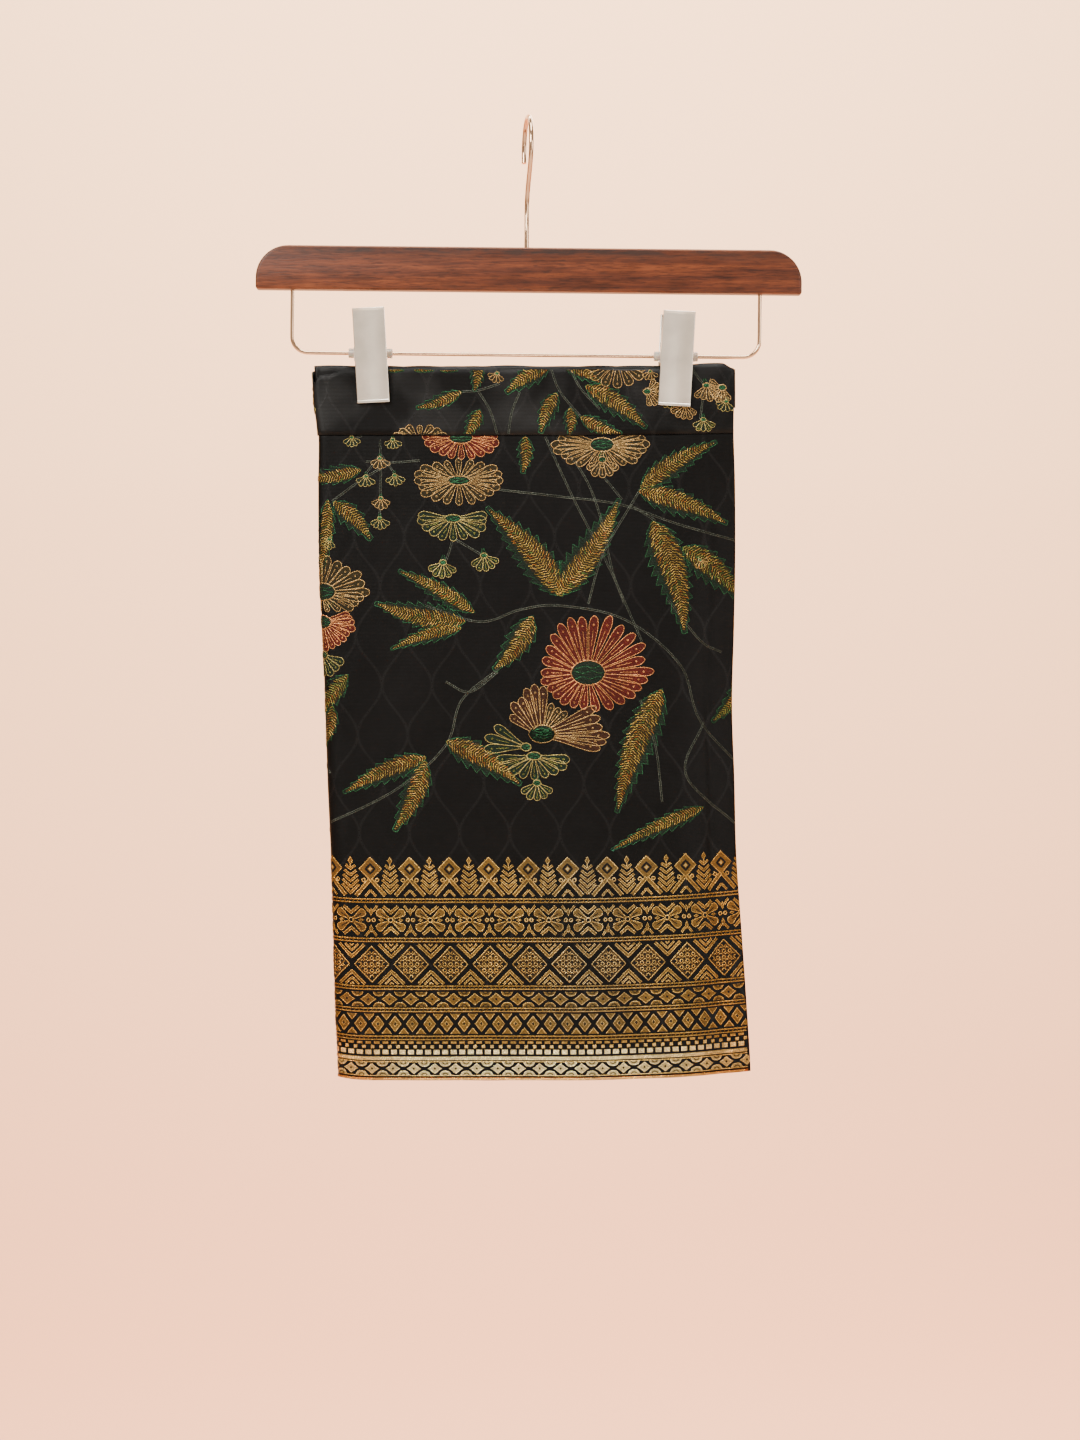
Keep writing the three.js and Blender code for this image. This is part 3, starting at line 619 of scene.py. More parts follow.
hanger = {
    "tilt": math.radians(0.6), "barLong": 0.36, "barTall": 0.029, "barThick": 0.012,
    "barTop": -0.0853, "barRound": 0.0016, "endWide": 0.0215, "barX": 0.0016,
    "hookWire": 0.0032, "hookInside": 0.019, "hookTurn": math.radians(7),
    "frameWire": 0.0026, "halfSpan": 0.1543, "wireZ": -0.1557, "bend": 0.0105, "socket": 0.012,
}
clips = [{"name": "left", "x": -0.1023, "swing": -3.6},
         {"name": "right", "x": 0.0992, "swing": 2.5}]


def turnedInPlace(piece, moved=(0, 0, 0), turned=(0, 0, 0)):
    # turns about the origin, then moves, and leaves the object at the origin
    alone(piece)
    piece.rotation_euler = turned
    bpy.ops.object.transform_apply(location=False, rotation=True, scale=True)
    piece.location = moved
    bpy.ops.object.transform_apply(location=True, rotation=False, scale=False)


def finished(piece, name, material, replaced):
    piece.name = name
    piece.data.name = name
    piece.data.materials.clear()
    piece.data.materials.append(material)
    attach(piece, "root")
    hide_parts(replaced)


def smoothShaded(piece, angle=35):
    alone(piece)
    bpy.ops.object.shade_smooth_by_angle(angle=math.radians(angle))


def box(size, at=(0, 0, 0)):
    bpy.ops.mesh.primitive_cube_add(size=1, location=at)
    made = bpy.context.active_object
    made.scale = size
    bpy.ops.object.transform_apply(location=True, rotation=False, scale=True)
    return made


def selectParts(piece, kind, wanted):
    # edit mode, with only the wanted edges or faces selected
    bpy.ops.object.mode_set(mode="EDIT")
    bpy.ops.mesh.select_mode(type=kind)
    bpy.ops.mesh.select_all(action="DESELECT")
    mesh = bmesh.from_edit_mesh(piece.data)
    for part in mesh.edges if kind == "EDGE" else mesh.faces:
        part.select = wanted(part)
    bmesh.update_edit_mesh(piece.data)


def wirePiece(name, points, diameter, replaced, sides):
    # a round wire through the points, made as a curve and turned into a mesh
    curve = bpy.data.curves.new(name, "CURVE")
    curve.dimensions = "3D"
    curve.bevel_depth = diameter / 2
    curve.bevel_resolution = sides
    curve.use_fill_caps = True
    curve.resolution_u = 6
    spline = curve.splines.new("NURBS")
    spline.points.add(len(points) - 1)
    for point, place in zip(spline.points, points):
        point.co = (*place, 1)
    spline.order_u = 4
    spline.use_endpoint_u = True
    made = bpy.data.objects.new(name, curve)
    bpy.context.collection.objects.link(made)
    alone(made)
    bpy.ops.object.convert(target="MESH")
    made = bpy.context.active_object
    finished(made, name, mats["nickel"], replaced)
    smoothShaded(made, 60)


def tilted(point):
    x, y, z = point
    cos, sin = math.cos(hanger["tilt"]), math.sin(hanger["tilt"])
    return (x * cos + z * sin, y, -x * sin + z * cos)


def makeBar():
    bar = box((hanger["barLong"], hanger["barThick"], hanger["barTall"]))
    selectParts(bar, "EDGE", lambda edge: min(v.co.z for v in edge.verts) > 0
                and abs(edge.verts[0].co.x - edge.verts[1].co.x) < 1e-6)
    bpy.ops.mesh.bevel(offset=hanger["endWide"], segments=16, profile=0.5)
    bpy.ops.object.mode_set(mode="OBJECT")
    applied(bar, "BEVEL", width=hanger["barRound"], segments=4, limit_method="ANGLE",
            angle_limit=math.radians(40))
    centre = (hanger["barX"], 0, hanger["barTop"] - hanger["barTall"] / 2)
    turnedInPlace(bar, moved=centre)
    turnedInPlace(bar, turned=(0, hanger["tilt"], 0))
    finished(bar, "hangerBar", mats["wood"], "hanger_bar")
    smoothShaded(bar, 30)


def makeHook():
    radius = hanger["hookInside"] + hanger["hookWire"] / 2
    centreZ = hanger["hookWire"] / 2 - radius
    neck = [(0, -0.1033), (0, -0.095), (0, -0.088), (0, -0.08), (0, -0.072), (0.0011, -0.062),
            (0.0006, -0.054), (-0.0034, -0.0465), (-0.0084, -0.0406)]
    angles = np.radians(np.linspace(228, -20, 19))
    ring = [(radius * math.cos(a), centreZ + radius * math.sin(a)) for a in angles]
    sin, cos = math.sin(hanger["hookTurn"]), math.cos(hanger["hookTurn"])
    points = [tilted((-p * sin, p * cos, z)) for p, z in neck + ring]
    wirePiece("hookWire", points, hanger["hookWire"], "hook", 8)


def makeFrameWire():
    half, z, bend = hanger["halfSpan"], hanger["wireZ"], hanger["bend"]
    top = hanger["barTop"] - hanger["barTall"] + hanger["socket"]
    points = [(-half, 0, top), (-half, 0, top - 0.01), (-half, 0, -0.125), (-half, 0, -0.136)]
    for angle in np.radians(np.linspace(0, 90, 9)):
        points.append((-half + bend - bend * math.cos(angle), 0, z + bend - bend * math.sin(angle)))
    points += [(x, 0, z) for x in np.linspace(-half + bend + 0.006, half - bend - 0.006, 11)]
    for angle in np.radians(np.linspace(90, 0, 9)):
        points.append((half - bend + bend * math.cos(angle), 0, z + bend - bend * math.sin(angle)))
    points += [(half, 0, -0.136), (half, 0, -0.125), (half, 0, top - 0.01), (half, 0, top)]
    wirePiece("frameWire", [tilted(p) for p in points], hanger["frameWire"],
              "frame_wire", 6)


def makeSpring(clip):
    # a coil round the sleeve
    coil = {"turns": 7, "long": 0.0142, "radius": 0.0043, "wire": 0.0012, "steps": 12}
    points, last = [], coil["turns"] * coil["steps"]
    for k in range(last + 1):
        angle = 2 * math.pi * k / coil["steps"]
        x = clip["x"] - coil["long"] / 2 + coil["long"] * k / last
        y, rise = coil["radius"] * math.cos(angle), coil["radius"] * math.sin(angle)
        points.append(tilted((x, y, hanger["wireZ"] + rise)))
    wirePiece("spring_" + clip["name"], points, coil["wire"],
              f"clip_{clip['name']}_spring", 3)


def makeSleeve(clip):
    bpy.ops.mesh.primitive_cylinder_add(vertices=32, radius=0.0032, depth=0.029)
    sleeve = bpy.context.active_object
    selectParts(sleeve, "FACE", lambda face: len(face.verts) > 4)
    bpy.ops.mesh.inset(thickness=0.0015)
    bpy.ops.mesh.bridge_edge_loops()
    bpy.ops.object.mode_set(mode="OBJECT")
    applied(sleeve, "BEVEL", width=0.0004, segments=2, limit_method="ANGLE",
            angle_limit=math.radians(50))
    turnedInPlace(sleeve, moved=(clip["x"], 0, hanger["wireZ"]), turned=(0, math.pi / 2, 0))
    turnedInPlace(sleeve, turned=(0, hanger["tilt"], 0))
    finished(sleeve, "sleeve_" + clip["name"], mats["sleeve"],
             f"clip_{clip['name']}_sleeve")
    smoothShaded(sleeve, 40)


def makeJaw(clip, side):
    # a pressed plate with a narrow step near each end, a hollow back and two ears on the sleeve
    plate = {"wide": 0.0212, "above": 0.029, "below": 0.0333, "sheet": 0.0009, "rim": 0.003,
             "lean": math.radians(7), "bearing": 0.00435, "step": 0.0016, "slope": 0.0003,
             "sunk": 0.0005, "slip": 0.0005}
    lug = {"radius": 0.0046, "out": 0.0113, "height": 0.0322, "gap": 0.0003,
           "webDeep": 0.0105, "webTall": 0.009, "webOut": 0.006}
    tall = plate["above"] + plate["below"]
    jaw = box((plate["wide"], plate["rim"], tall), (0, plate["rim"] / 2, tall / 2))
    selectParts(jaw, "FACE", lambda face: face.normal.y > 0.9)
    bpy.ops.mesh.inset(thickness=plate["sheet"])
    bpy.ops.mesh.extrude_region_move(
        TRANSFORM_OT_translate={"value": (0, -(plate["rim"] - plate["sheet"]), 0)})
    top = tall - plate["step"]
    for height in (plate["step"], plate["step"] + plate["slope"], top - plate["slope"], top):
        bpy.ops.mesh.select_all(action="SELECT")
        bpy.ops.mesh.bisect(plane_co=(0, 0, height), plane_no=(0, 0, 1))
    mesh = bmesh.from_edit_mesh(jaw.data)
    for vert in mesh.verts:
        if plate["step"] < vert.co.z < top and vert.co.y < 1e-5:
            vert.co.y += plate["sunk"]
    bmesh.update_edit_mesh(jaw.data)
    bpy.ops.object.mode_set(mode="OBJECT")
    applied(jaw, "BEVEL", width=0.0006, segments=3, limit_method="ANGLE",
            angle_limit=math.radians(40))
    # the two plates of a clip are a little out of line
    turnedInPlace(jaw, moved=(plate["slip"], 0, 0))
    # the back jaw's ears sit inside the front jaw's
    earX = plate["wide"] / 2 - plate["sheet"] / 2
    if side == "back":
        earX -= plate["sheet"] + lug["gap"]
    ears = []
    for way in (-1, 1):
        bpy.ops.mesh.primitive_cylinder_add(vertices=28, radius=lug["radius"],
                                            depth=plate["sheet"])
        ear = bpy.context.active_object
        turnedInPlace(ear, turned=(0, math.pi / 2, 0),
                      moved=(way * earX, lug["out"], lug["height"]))
        ears += [ear, box((plate["sheet"], lug["webDeep"], lug["webTall"]),
                          (way * earX, lug["webOut"], lug["height"]))]
    alone(jaw)
    for ear in ears:
        ear.select_set(True)
    bpy.ops.object.join()
    jaw = bpy.context.active_object
    rimY = plate["bearing"] + plate["rim"] * math.cos(plate["lean"])
    turnedInPlace(jaw, turned=(plate["lean"], 0, 0), moved=(0, -rimY, -plate["below"]))
    if side == "back":
        turnedInPlace(jaw, turned=(0, 0, math.pi))
    turnedInPlace(jaw, turned=(0, math.radians(clip["swing"]), 0),
                  moved=(clip["x"], 0, hanger["wireZ"]))
    turnedInPlace(jaw, turned=(0, hanger["tilt"], 0))
    finished(jaw, f"jaw_{clip['name']}_{side}", mats["steel"],
             f"clip_{clip['name']}_{side}")
    smoothShaded(jaw, 30)


makeBar()
makeHook()
makeFrameWire()
for clip in clips:
    makeSpring(clip)
    makeSleeve(clip)
    for side in ("front", "back"):
        makeJaw(clip, side)
print("hanger made")


# drawing on the flat cloth, in millimetres along it, up and out

dyes = {
    "gold": (0.15, 0.080, 0.012), "paleGold": (0.53, 0.33, 0.085),
    "darkGold": (0.050, 0.025, 0.004), "midGold": (0.33, 0.19, 0.042),
    "hemGold": (0.36, 0.24, 0.075), "hemLight": (0.62, 0.46, 0.18),
    "copper": (0.36, 0.09, 0.014), "rust": (0.072, 0.0052, 0.0018),
    "pinkGold": (0.58, 0.25, 0.09), "roseGold": (0.44, 0.28, 0.105),
    "sage": (0.37, 0.30, 0.10), "olive": (0.020, 0.014, 0.0025),
    "leafGold": (0.44, 0.30, 0.06), "leafGreen": (0.09, 0.15, 0.03),
    "strawGold": (0.25, 0.16, 0.028), "amber": (0.34, 0.125, 0.018),
    "deepGreen": (0.0035, 0.0125, 0.005), "mint": (0.022, 0.105, 0.042),
    "paleGreen": (0.22, 0.22, 0.045), "stem": (0.078, 0.086, 0.068),
    "stemShade": (0.020, 0.030, 0.021), "bronze": (0.034, 0.010, 0.002),
    "black": (0.0010, 0.0009, 0.0008),
}
thread, metal = 0, 1


def newDrawing():
    return {"flat": [], "faces": [], "slots": [], "dyes": []}


def addRun(art, lines, slot, dye):
    # lines of equal length, side by side, joined into a strip
    base, count = len(art["flat"]), len(lines[0])
    for line in lines:
        art["flat"].extend(line)
        art["dyes"].extend([dyes[dye]] * count)
    for k in range(len(lines) - 1):
        for i in range(count - 1):
            a = base + k * count + i
            art["faces"].append((a, a + count, a + count + 1, a + 1))
            art["slots"].append(slot)


def spaced(points, step, closed=False):
    # the same line with a point at least every step
    points = [np.array(p, dtype=float) for p in points]
    if closed:
        points.append(points[0])
    made = [points[0]]
    for a, b in zip(points, points[1:]):
        count = max(1, math.ceil(np.linalg.norm(b - a) / step))
        made += [a + (b - a) * k / count for k in range(1, count + 1)]
    return np.array(made)


def smoothLine(points, step):
    points = np.array(points, dtype=float)
    ends = np.vstack([2 * points[0] - points[1], points, 2 * points[-1] - points[-2]])
    made = []
    for k in range(1, len(ends) - 2):
        p0, p1, p2, p3 = ends[k - 1:k + 3]
        count = max(2, math.ceil(np.linalg.norm(p2 - p1) / step))
        made += [curveBetween(p0, p1, p2, p3, t) for t in np.arange(count) / count]
    made.append(points[-1])
    return np.array(made)


def sideways(points, closed=False):
    if closed:
        ahead = np.vstack([points[1:], points[1:2]]) - np.vstack([points[-2:-1], points[:-1]])
    else:
        ahead = np.gradient(points, axis=0)
    ahead /= np.linalg.norm(ahead, axis=1)[:, None] + 1e-9
    return np.stack([-ahead[:, 1], ahead[:, 0]], 1)


def withOut(points, out):
    return np.hstack([points, np.broadcast_to(out, len(points))[:, None]])


def ribbon(art, points, width, dye, out=0.16, crown=0.22, closed=False, slot=metal, step=2.2):
    # one raised thread along the points
    line = spaced(points, step, closed)
    side = sideways(line, closed) * np.reshape(width, (-1, 1)) / 2
    addRun(art, [withOut(line + side, out), withOut(line, out + crown), withOut(line - side, out)],
           slot, dye)


def fillBetween(art, lower, upper, dye, out=0.12, crown=0.1, slot=thread):
    # a field between two lines, in bands no taller than the cloth's own waves allow
    tall = np.abs(upper - lower).max()
    bands = max(2, 2 * math.ceil(tall / 6))
    lines = []
    for k in range(bands + 1):
        rise = crown * min(1, k, bands - k)
        lines.append(withOut(lower + (upper - lower) * k / bands, out + rise))
    addRun(art, lines, slot, dye)


def edgedBar(art, points, width, edgeWidth=0.5):
    # a woven bar with a finer, paler thread down both its edges
    line = spaced(points, 2.2)
    side = sideways(line)
    turn = np.linalg.norm(np.gradient(side, axis=0), axis=1)
    side = side * (1 + 0.35 * np.minimum(1, turn))[:, None] * width / 2
    fillBetween(art, line - side, line + side, "gold")
    for way in (-1, 1):
        ribbon(art, line + side * way * (1 - edgeWidth / width), edgeWidth, "paleGold", 0.17,
               0.16, step=9)


def diamond(at, wide, tall):
    u, z = at
    return [(u - wide, z), (u, z + tall), (u + wide, z), (u, z - tall)]


def filledDiamond(art, at, wide, tall, dye, edge=None, out=0.12, power=1.0, edgeWidth=0.6):
    # power over 1 draws the sides in
    share = np.linspace(-1, 1, max(5, 2 * math.ceil(wide / 1.6) + 1))
    height = tall * (1 - np.abs(share)) ** power
    us = at[0] + wide * share
    lower, upper = (np.stack([us, at[1] + way * height], 1) for way in (-1, 1))
    fillBetween(art, lower, upper, dye, out, slot=thread)
    if edge:
        rim = np.vstack([lower, upper[::-1][1:-1]])
        inward = 1 - 0.7 * edgeWidth / min(wide, tall)
        ribbon(art, np.array(at) + (rim - at) * inward, edgeWidth, edge, out + 0.04, 0.18,
               closed=True, step=3)


def oval(at, wide, tall, sides):
    angles = np.arange(sides) * 2 * math.pi / sides
    return np.stack([at[0] + wide * np.cos(angles), at[1] + tall * np.sin(angles)], 1)


def roundedOver(share):
    # a half circle's height over -1 to 1
    return np.sqrt(np.maximum(0, 1 - share ** 2))


def ring(art, at, radius, width, dye, out=0.14, sides=10):
    ribbon(art, oval(at, radius, radius, sides), width, dye, out, 0.2, closed=True, step=9)


def disc(art, at, wide, tall, dye, out=0.12, crown=0.2, slot=thread, steps=8):
    share = np.linspace(-1, 1, steps + 1)
    height = tall * roundedOver(share)
    us = at[0] + wide * share
    fillBetween(art, np.stack([us, at[1] - height], 1), np.stack([us, at[1] + height], 1),
                dye, out, crown, slot)


def halfRound(art, at, wide, tall, dye, edge, inner):
    # half a disc with its flat side level, up or down by the sign of tall
    share = np.linspace(-1, 1, 9)
    for size, out, colour in ((1.0, 0.1, dye), (0.58, 0.24, inner), (0.34, 0.28, dye)):
        us = at[0] + wide * size * share
        arc = np.stack([us, at[1] + tall * size * roundedOver(share)], 1)
        flat = np.stack([us, np.full(9, at[1])], 1)
        pair = (flat, arc) if tall > 0 else (arc, flat)
        fillBetween(art, *pair, colour, out, 0.04)
    rim = np.stack([at[0] + wide * share, at[1] + tall * roundedOver(share)], 1)
    ribbon(art, rim, 0.45, edge, 0.16, 0.16, step=9)


# border: rows named by their height above the hem's edge

hemLine = -633.9
columns = {"pitch": 26.0, "phase": -4.8}
# drawn from the free end to the back fold, in two pieces that part on the left fold
drawnFrom, splitAt, drawnTo = 139.0, -152.0, -437.0
repeatAlong = -276.0


def places(pitch, phase, fromU, toU):
    first, last = math.ceil((toU - phase) / pitch), math.floor((fromU - phase) / pitch)
    return [phase + pitch * k for k in range(first, last + 1)]


def up(height):
    return hemLine + height


def threadLine(art, heights, fromU, toU, width, dye, crown=0.3):
    for height in heights:
        ribbon(art, [(toU, up(height)), (fromU, up(height))], width, dye, 0.12, crown, step=2.4)


def twistedCord(art, height, fromU, toU, width, pitch, dye, light):
    ribbon(art, [(toU, up(height)), (fromU, up(height))], width, dye, 0.1, 0.35, step=2.4)
    half = 0.42 * width
    for u in np.arange(toU + pitch, fromU - pitch, pitch):
        ends = [(u - 0.3 * pitch, up(height) - half), (u + 0.5 * pitch, up(height) + half)]
        ribbon(art, ends, 0.45 * pitch, light, 0.42, 0.06, step=9)


def diamondColumn(art, u):
    # the crowning row: a diamond on two crossed legs that make a roof
    crown = (u, up(139.2))
    filledDiamond(art, crown, 7.7, 8.0, "gold", "paleGold")
    ribbon(art, diamond(crown, 2.9, 3.1), 1.5, "black", 0.3, 0.05, closed=True, slot=thread)
    filledDiamond(art, crown, 1.3, 1.4, "paleGold", out=0.3)
    for side in (-1, 1):
        edgedBar(art, [(u + side * 0.5, up(132.0)), (u + side * 9.6, up(121.6))], 2.5)
        edgedBar(art, [(u, up(125.2)), (u + side * 3.6, up(121.2))], 1.4, edgeWidth=0.4)
        ring(art, (u + side * 4.4, up(131.8)), 1.1, 0.75, "paleGold")
    # below it: paired rings between two spikes
    for side in (-1, 1):
        ring(art, (u + side * 1.7, up(105.6)), 1.05, 0.75, "paleGold")
        edgedBar(art, [(u + side * 4.2, up(115.0)), (u + side * 1.2, up(111.2))], 1.5, 0.4)
        edgedBar(art, [(u + side * 3.6, up(95.3)), (u + side * 1.0, up(98.6))], 1.5, 0.4)
    filledDiamond(art, (u, up(110.9)), 1.3, 3.0, "gold", "paleGold", 0.16, edgeWidth=0.4)
    filledDiamond(art, (u, up(100.0)), 1.3, 3.2, "gold", "paleGold", 0.16, edgeWidth=0.4)
    # the wide diamond with its filigree
    centre = up(76.5)
    filledDiamond(art, (u, centre), 11.7, 12.2, "darkGold", "paleGold", edgeWidth=0.6)
    for i in range(-2, 3):
        for j in range(-2, 3):
            place = (u + (i - j) * 2.0, centre + (i + j) * 2.05)
            if (i + j) % 2 == 0:
                ring(art, place, 1.1, 0.5, "paleGold", 0.24, 8)
                filledDiamond(art, place, 0.75, 0.75, "black", out=0.3)
            else:
                ribbon(art, [(place[0] - 1.1, place[1]), (place[0], place[1] + 0.9),
                             (place[0] + 1.1, place[1])], 0.42, "paleGold", 0.26, 0.1)
                filledDiamond(art, (place[0], place[1] - 0.6), 1.0, 0.65, "black", out=0.26)
    for du, dz in ((8.7, 0), (-8.7, 0), (0, 9.1), (0, -9.1)):
        filledDiamond(art, (u + du, centre + dz), 1.7, 1.35, "black", out=0.45)


def treeColumn(art, u):
    # the little tree of chevrons, and what stands below it
    filledDiamond(art, (u, up(144.5)), 1.7, 2.9, "gold", "paleGold", 0.18, edgeWidth=0.45)
    ribbon(art, [(u, up(142.5)), (u, up(139.5))], 0.7, "paleGold", 0.14)
    chevrons = [(3.1, 141.5, 139.0, 1.5), (4.0, 138.2, 134.9, 1.6), (4.8, 135.2, 131.0, 1.6),
                (5.3, 132.1, 127.2, 1.6), (5.5, 129.0, 123.2, 1.7)]
    for half, tip, foot, width in chevrons:
        edgedBar(art, [(u - half, up(tip)), (u, up(foot)), (u + half, up(tip))], width,
                 edgeWidth=0.42)
    # four-petalled flower
    ring(art, (u, up(105.5)), 1.5, 0.7, "paleGold", 0.3)
    for du in (-1, 1):
        for dz in (-1, 1):
            spine = np.stack([u + du * np.linspace(1.7, 9.0, 7),
                              up(105.5) + dz * np.linspace(1.2, 6.0, 7)], 1)
            petal(art, spine, 2.55, "gold", "paleGold", 0.5)
            ribbon(art, spine[1:5], 0.6, "black", 0.28, 0.04, slot=thread)
        filledDiamond(art, (u + du * 6.4, up(105.5)), 2.0, 1.1, "gold", "paleGold", edgeWidth=0.35)
    for dz in (-1, 1):
        edgedBar(art, [(u - 4.9, up(105.3 + dz * 9.2)), (u, up(105.3 + dz * 5.0)),
                       (u + 4.9, up(105.3 + dz * 9.2))], 1.9, edgeWidth=0.45)
    # nested chevrons between the wide diamonds
    for dz in (-1, 1):
        for half, near, far, width in ((8.3, 13.0, 4.8, 1.9), (4.4, 13.2, 8.9, 1.3),
                                       (1.3, 13.3, 12.1, 0.8)):
            edgedBar(art, [(u - half, up(76.5 + dz * near)), (u, up(76.5 + dz * far)),
                           (u + half, up(76.5 + dz * near))], width, edgeWidth=0.42)


def drawBorder(art, fromU, toU):
    pitch, phase = columns["pitch"], columns["phase"]
    for u in places(pitch, phase, fromU, toU):
        diamondColumn(art, u)
    for u in places(pitch, phase + pitch / 2, fromU, toU):
        treeColumn(art, u)
    for middle in (118.25, 92.45, 61.05, 46.45, 28.1):
        threadLine(art, (middle + 1.05, middle - 1.05), fromU, toU, 0.75, "midGold", 0.2)
        for u in places(2.81, 0.4, fromU, toU):
            ends = [(u - 0.4, up(middle - 0.8)), (u + 0.4, up(middle + 0.8))]
            ribbon(art, ends, 0.5, "gold", step=9)
    for centre, pitch, phase, half, dye, edge in (
            (53.5, 14.06, 0.96, (5.5, 4.1), "gold", "paleGold"),
            (7.9, 13.8, 0.6, (4.8, 3.5), "hemGold", "hemLight")):
        for u in places(pitch, phase, fromU, toU):
            filledDiamond(art, (u, up(centre)), *half, dye, edge, power=1.25,
                          edgeWidth=0.45)
            disc(art, (u, up(centre)), 0.75, 0.75, "black", 0.3, 0.05, steps=4)
            for dz in (-1, 1):
                halfRound(art, (u + pitch / 2, up(centre + dz * (half[1] + 0.7))), 3.7, -2.6 * dz,
                          dye, edge, "olive")
    for u in places(11.35, -3.25, fromU, toU):
        filledDiamond(art, (u, up(37.3)), 4.2, 5.5, "gold", "paleGold", edgeWidth=0.5)
        filledDiamond(art, (u, up(37.3)), 1.5, 2.0, "olive", "paleGold", 0.28, edgeWidth=0.35)
        for dz in (-1, 1):
            side = np.linspace(-3.1, 3.1, 5)
            base = np.stack([u + 5.67 + side, np.full(5, up(37.3 + dz * 6.6))], 1)
            apex = np.stack([u + 5.67 + side, up(37.3 + dz * (2.7 + 1.25 * np.abs(side)))], 1)
            pair = (apex, base) if dz > 0 else (base, apex)
            fillBetween(art, *pair, "gold")
            ribbon(art, apex, 0.5, "paleGold", 0.18, 0.14, step=9)
    for u in places(5.62, 0.4, fromU, toU):
        for height, tall, wide, shift, dye in (
                (25.0, 1.5, 1.8, 0, "midGold"), (22.3, 2.0, 1.1, 2.81, "paleGold"),
                (18.8, 2.9, 1.9, 0, "hemLight")):
            low = np.array([(u + shift + s * wide, up(height) - tall / 2) for s in (-1, 0, 1)])
            fillBetween(art, low, low + (0, tall), dye, 0.14, 0.12, metal)
    twistedCord(art, 14.6, fromU, toU, 2.4, 1.5, "hemGold", "hemLight")
    twistedCord(art, 1.0, fromU, toU, 1.7, 1.6, "copper", "paleGold")
    threadLine(art, (12.4, 3.3), fromU, toU, 0.45, "paleGold", 0.15)


# flowers, leaves and stems


def pointsAt(share, run, line):
    return np.stack([np.interp(share, run, line[:, k]) for k in (0, 1)], -1)


def petal(art, spine, half, fill, edge, edgeWidth, vein=None):
    # narrow at the foot, widest near the tip, and rounded over
    share = np.array([0, 0.16, 0.34, 0.52, 0.68, 0.8, 0.88, 0.94, 0.98, 1.0])
    line = pointsAt(share, np.linspace(0, 1, len(spine)), spine)
    profile = (0.3 + 0.7 * ease(share / 0.85)) * roundedOver(np.maximum(0, share - 0.78) / 0.22)
    side = sideways(line) * (profile * half)[:, None]
    fillBetween(art, line - side, line + side, fill, 0.13, 0.12)
    rim = np.vstack([line - side, (line + side)[::-1][1:]])
    ribbon(art, rim, edgeWidth, edge, 0.2, 0.2, step=4)
    if vein:
        ribbon(art, line[2:5], 0.3, vein, 0.27, 0.1, step=4)
        ring(art, line[5], 0.5, 0.34, vein, 0.27, 7)


# the dyes of a petal's field, edge and vein
looks = {"rust": ("rust", "pinkGold", "pinkGold"), "gold": ("olive", "roseGold", "roseGold"),
         "green": ("deepGreen", "sage", "paleGreen"), "bronze": ("bronze", "roseGold", "roseGold")}


def flower(art, at, core, reach, count, turn, look, squeeze=0.9):
    # petals all round an oval core, or in a fan between two angles. reach is left, right, down, up
    fill, edge, vein = looks[look]
    centre = np.array(at)
    left, right, down, rise = reach
    first, last = (math.radians(a) for a in turn)
    whole = turn[1] - turn[0] >= 359
    angles = np.linspace(first, last, count, endpoint=not whole)
    spread = (last - first) / (count if whole else count - 1)
    for angle in angles:
        cos, sin = math.cos(angle), math.sin(angle)
        outer = np.array([cos * (right if cos > 0 else left), sin * (rise if sin > 0 else down)])
        outer *= random.uniform(0.9, 1.03)
        inner = np.array([core[0] * cos, core[1] * sin]) * 0.85
        length = np.linalg.norm(outer)
        spine = centre + inner + (outer - inner) * np.linspace(0, 1, 8)[:, None]
        half = min(3.0, length * spread / 2 * squeeze)
        petal(art, spine, half, fill, edge, min(0.42, 0.26 * half), vein if half > 1.5 else None)
    disc(art, at, *core, "deepGreen", 0.3, 0.35, steps=12)
    ribbon(art, oval(at, *core, 18), 0.55, edge, 0.42, 0.2, closed=True, step=4)
    for level in (-0.4, 0.05, 0.45):
        reachU = core[0] * math.sqrt(1 - level ** 2) * 0.82
        share = np.linspace(-1, 1, 11)
        line = np.stack([at[0] + reachU * share,
                         at[1] + core[1] * (level + 0.1 * np.sin(share * 5 + level * 6))], 1)
        ribbon(art, line, 0.45, "mint", 0.62, 0.12, step=4)


def toothedEdges(spine, side, width, ahead, teeth, pull):
    # both margins of a blade, every second point a tooth that leans towards the tip
    odd = np.arange(len(spine)) % 2 == 1
    size = (width * np.where(odd, 1.0, teeth))[:, None]
    lean = ahead * (np.where(odd, pull, 0.0))[:, None]
    left, right = spine + side * size + lean, spine - side * size + lean
    left[0] = right[0] = spine[0]
    left[-1] = right[-1] = spine[-1]
    return left, right


def blade(art, left, spine, right, out, dye):
    # a surface a little higher along its middle
    lines = ((right, 0), ((right + spine) / 2, 0.03), (spine, 0.05), ((left + spine) / 2, 0.03),
             (left, 0))
    addRun(art, [withOut(line, out + rise) for line, rise in lines], thread, dye)


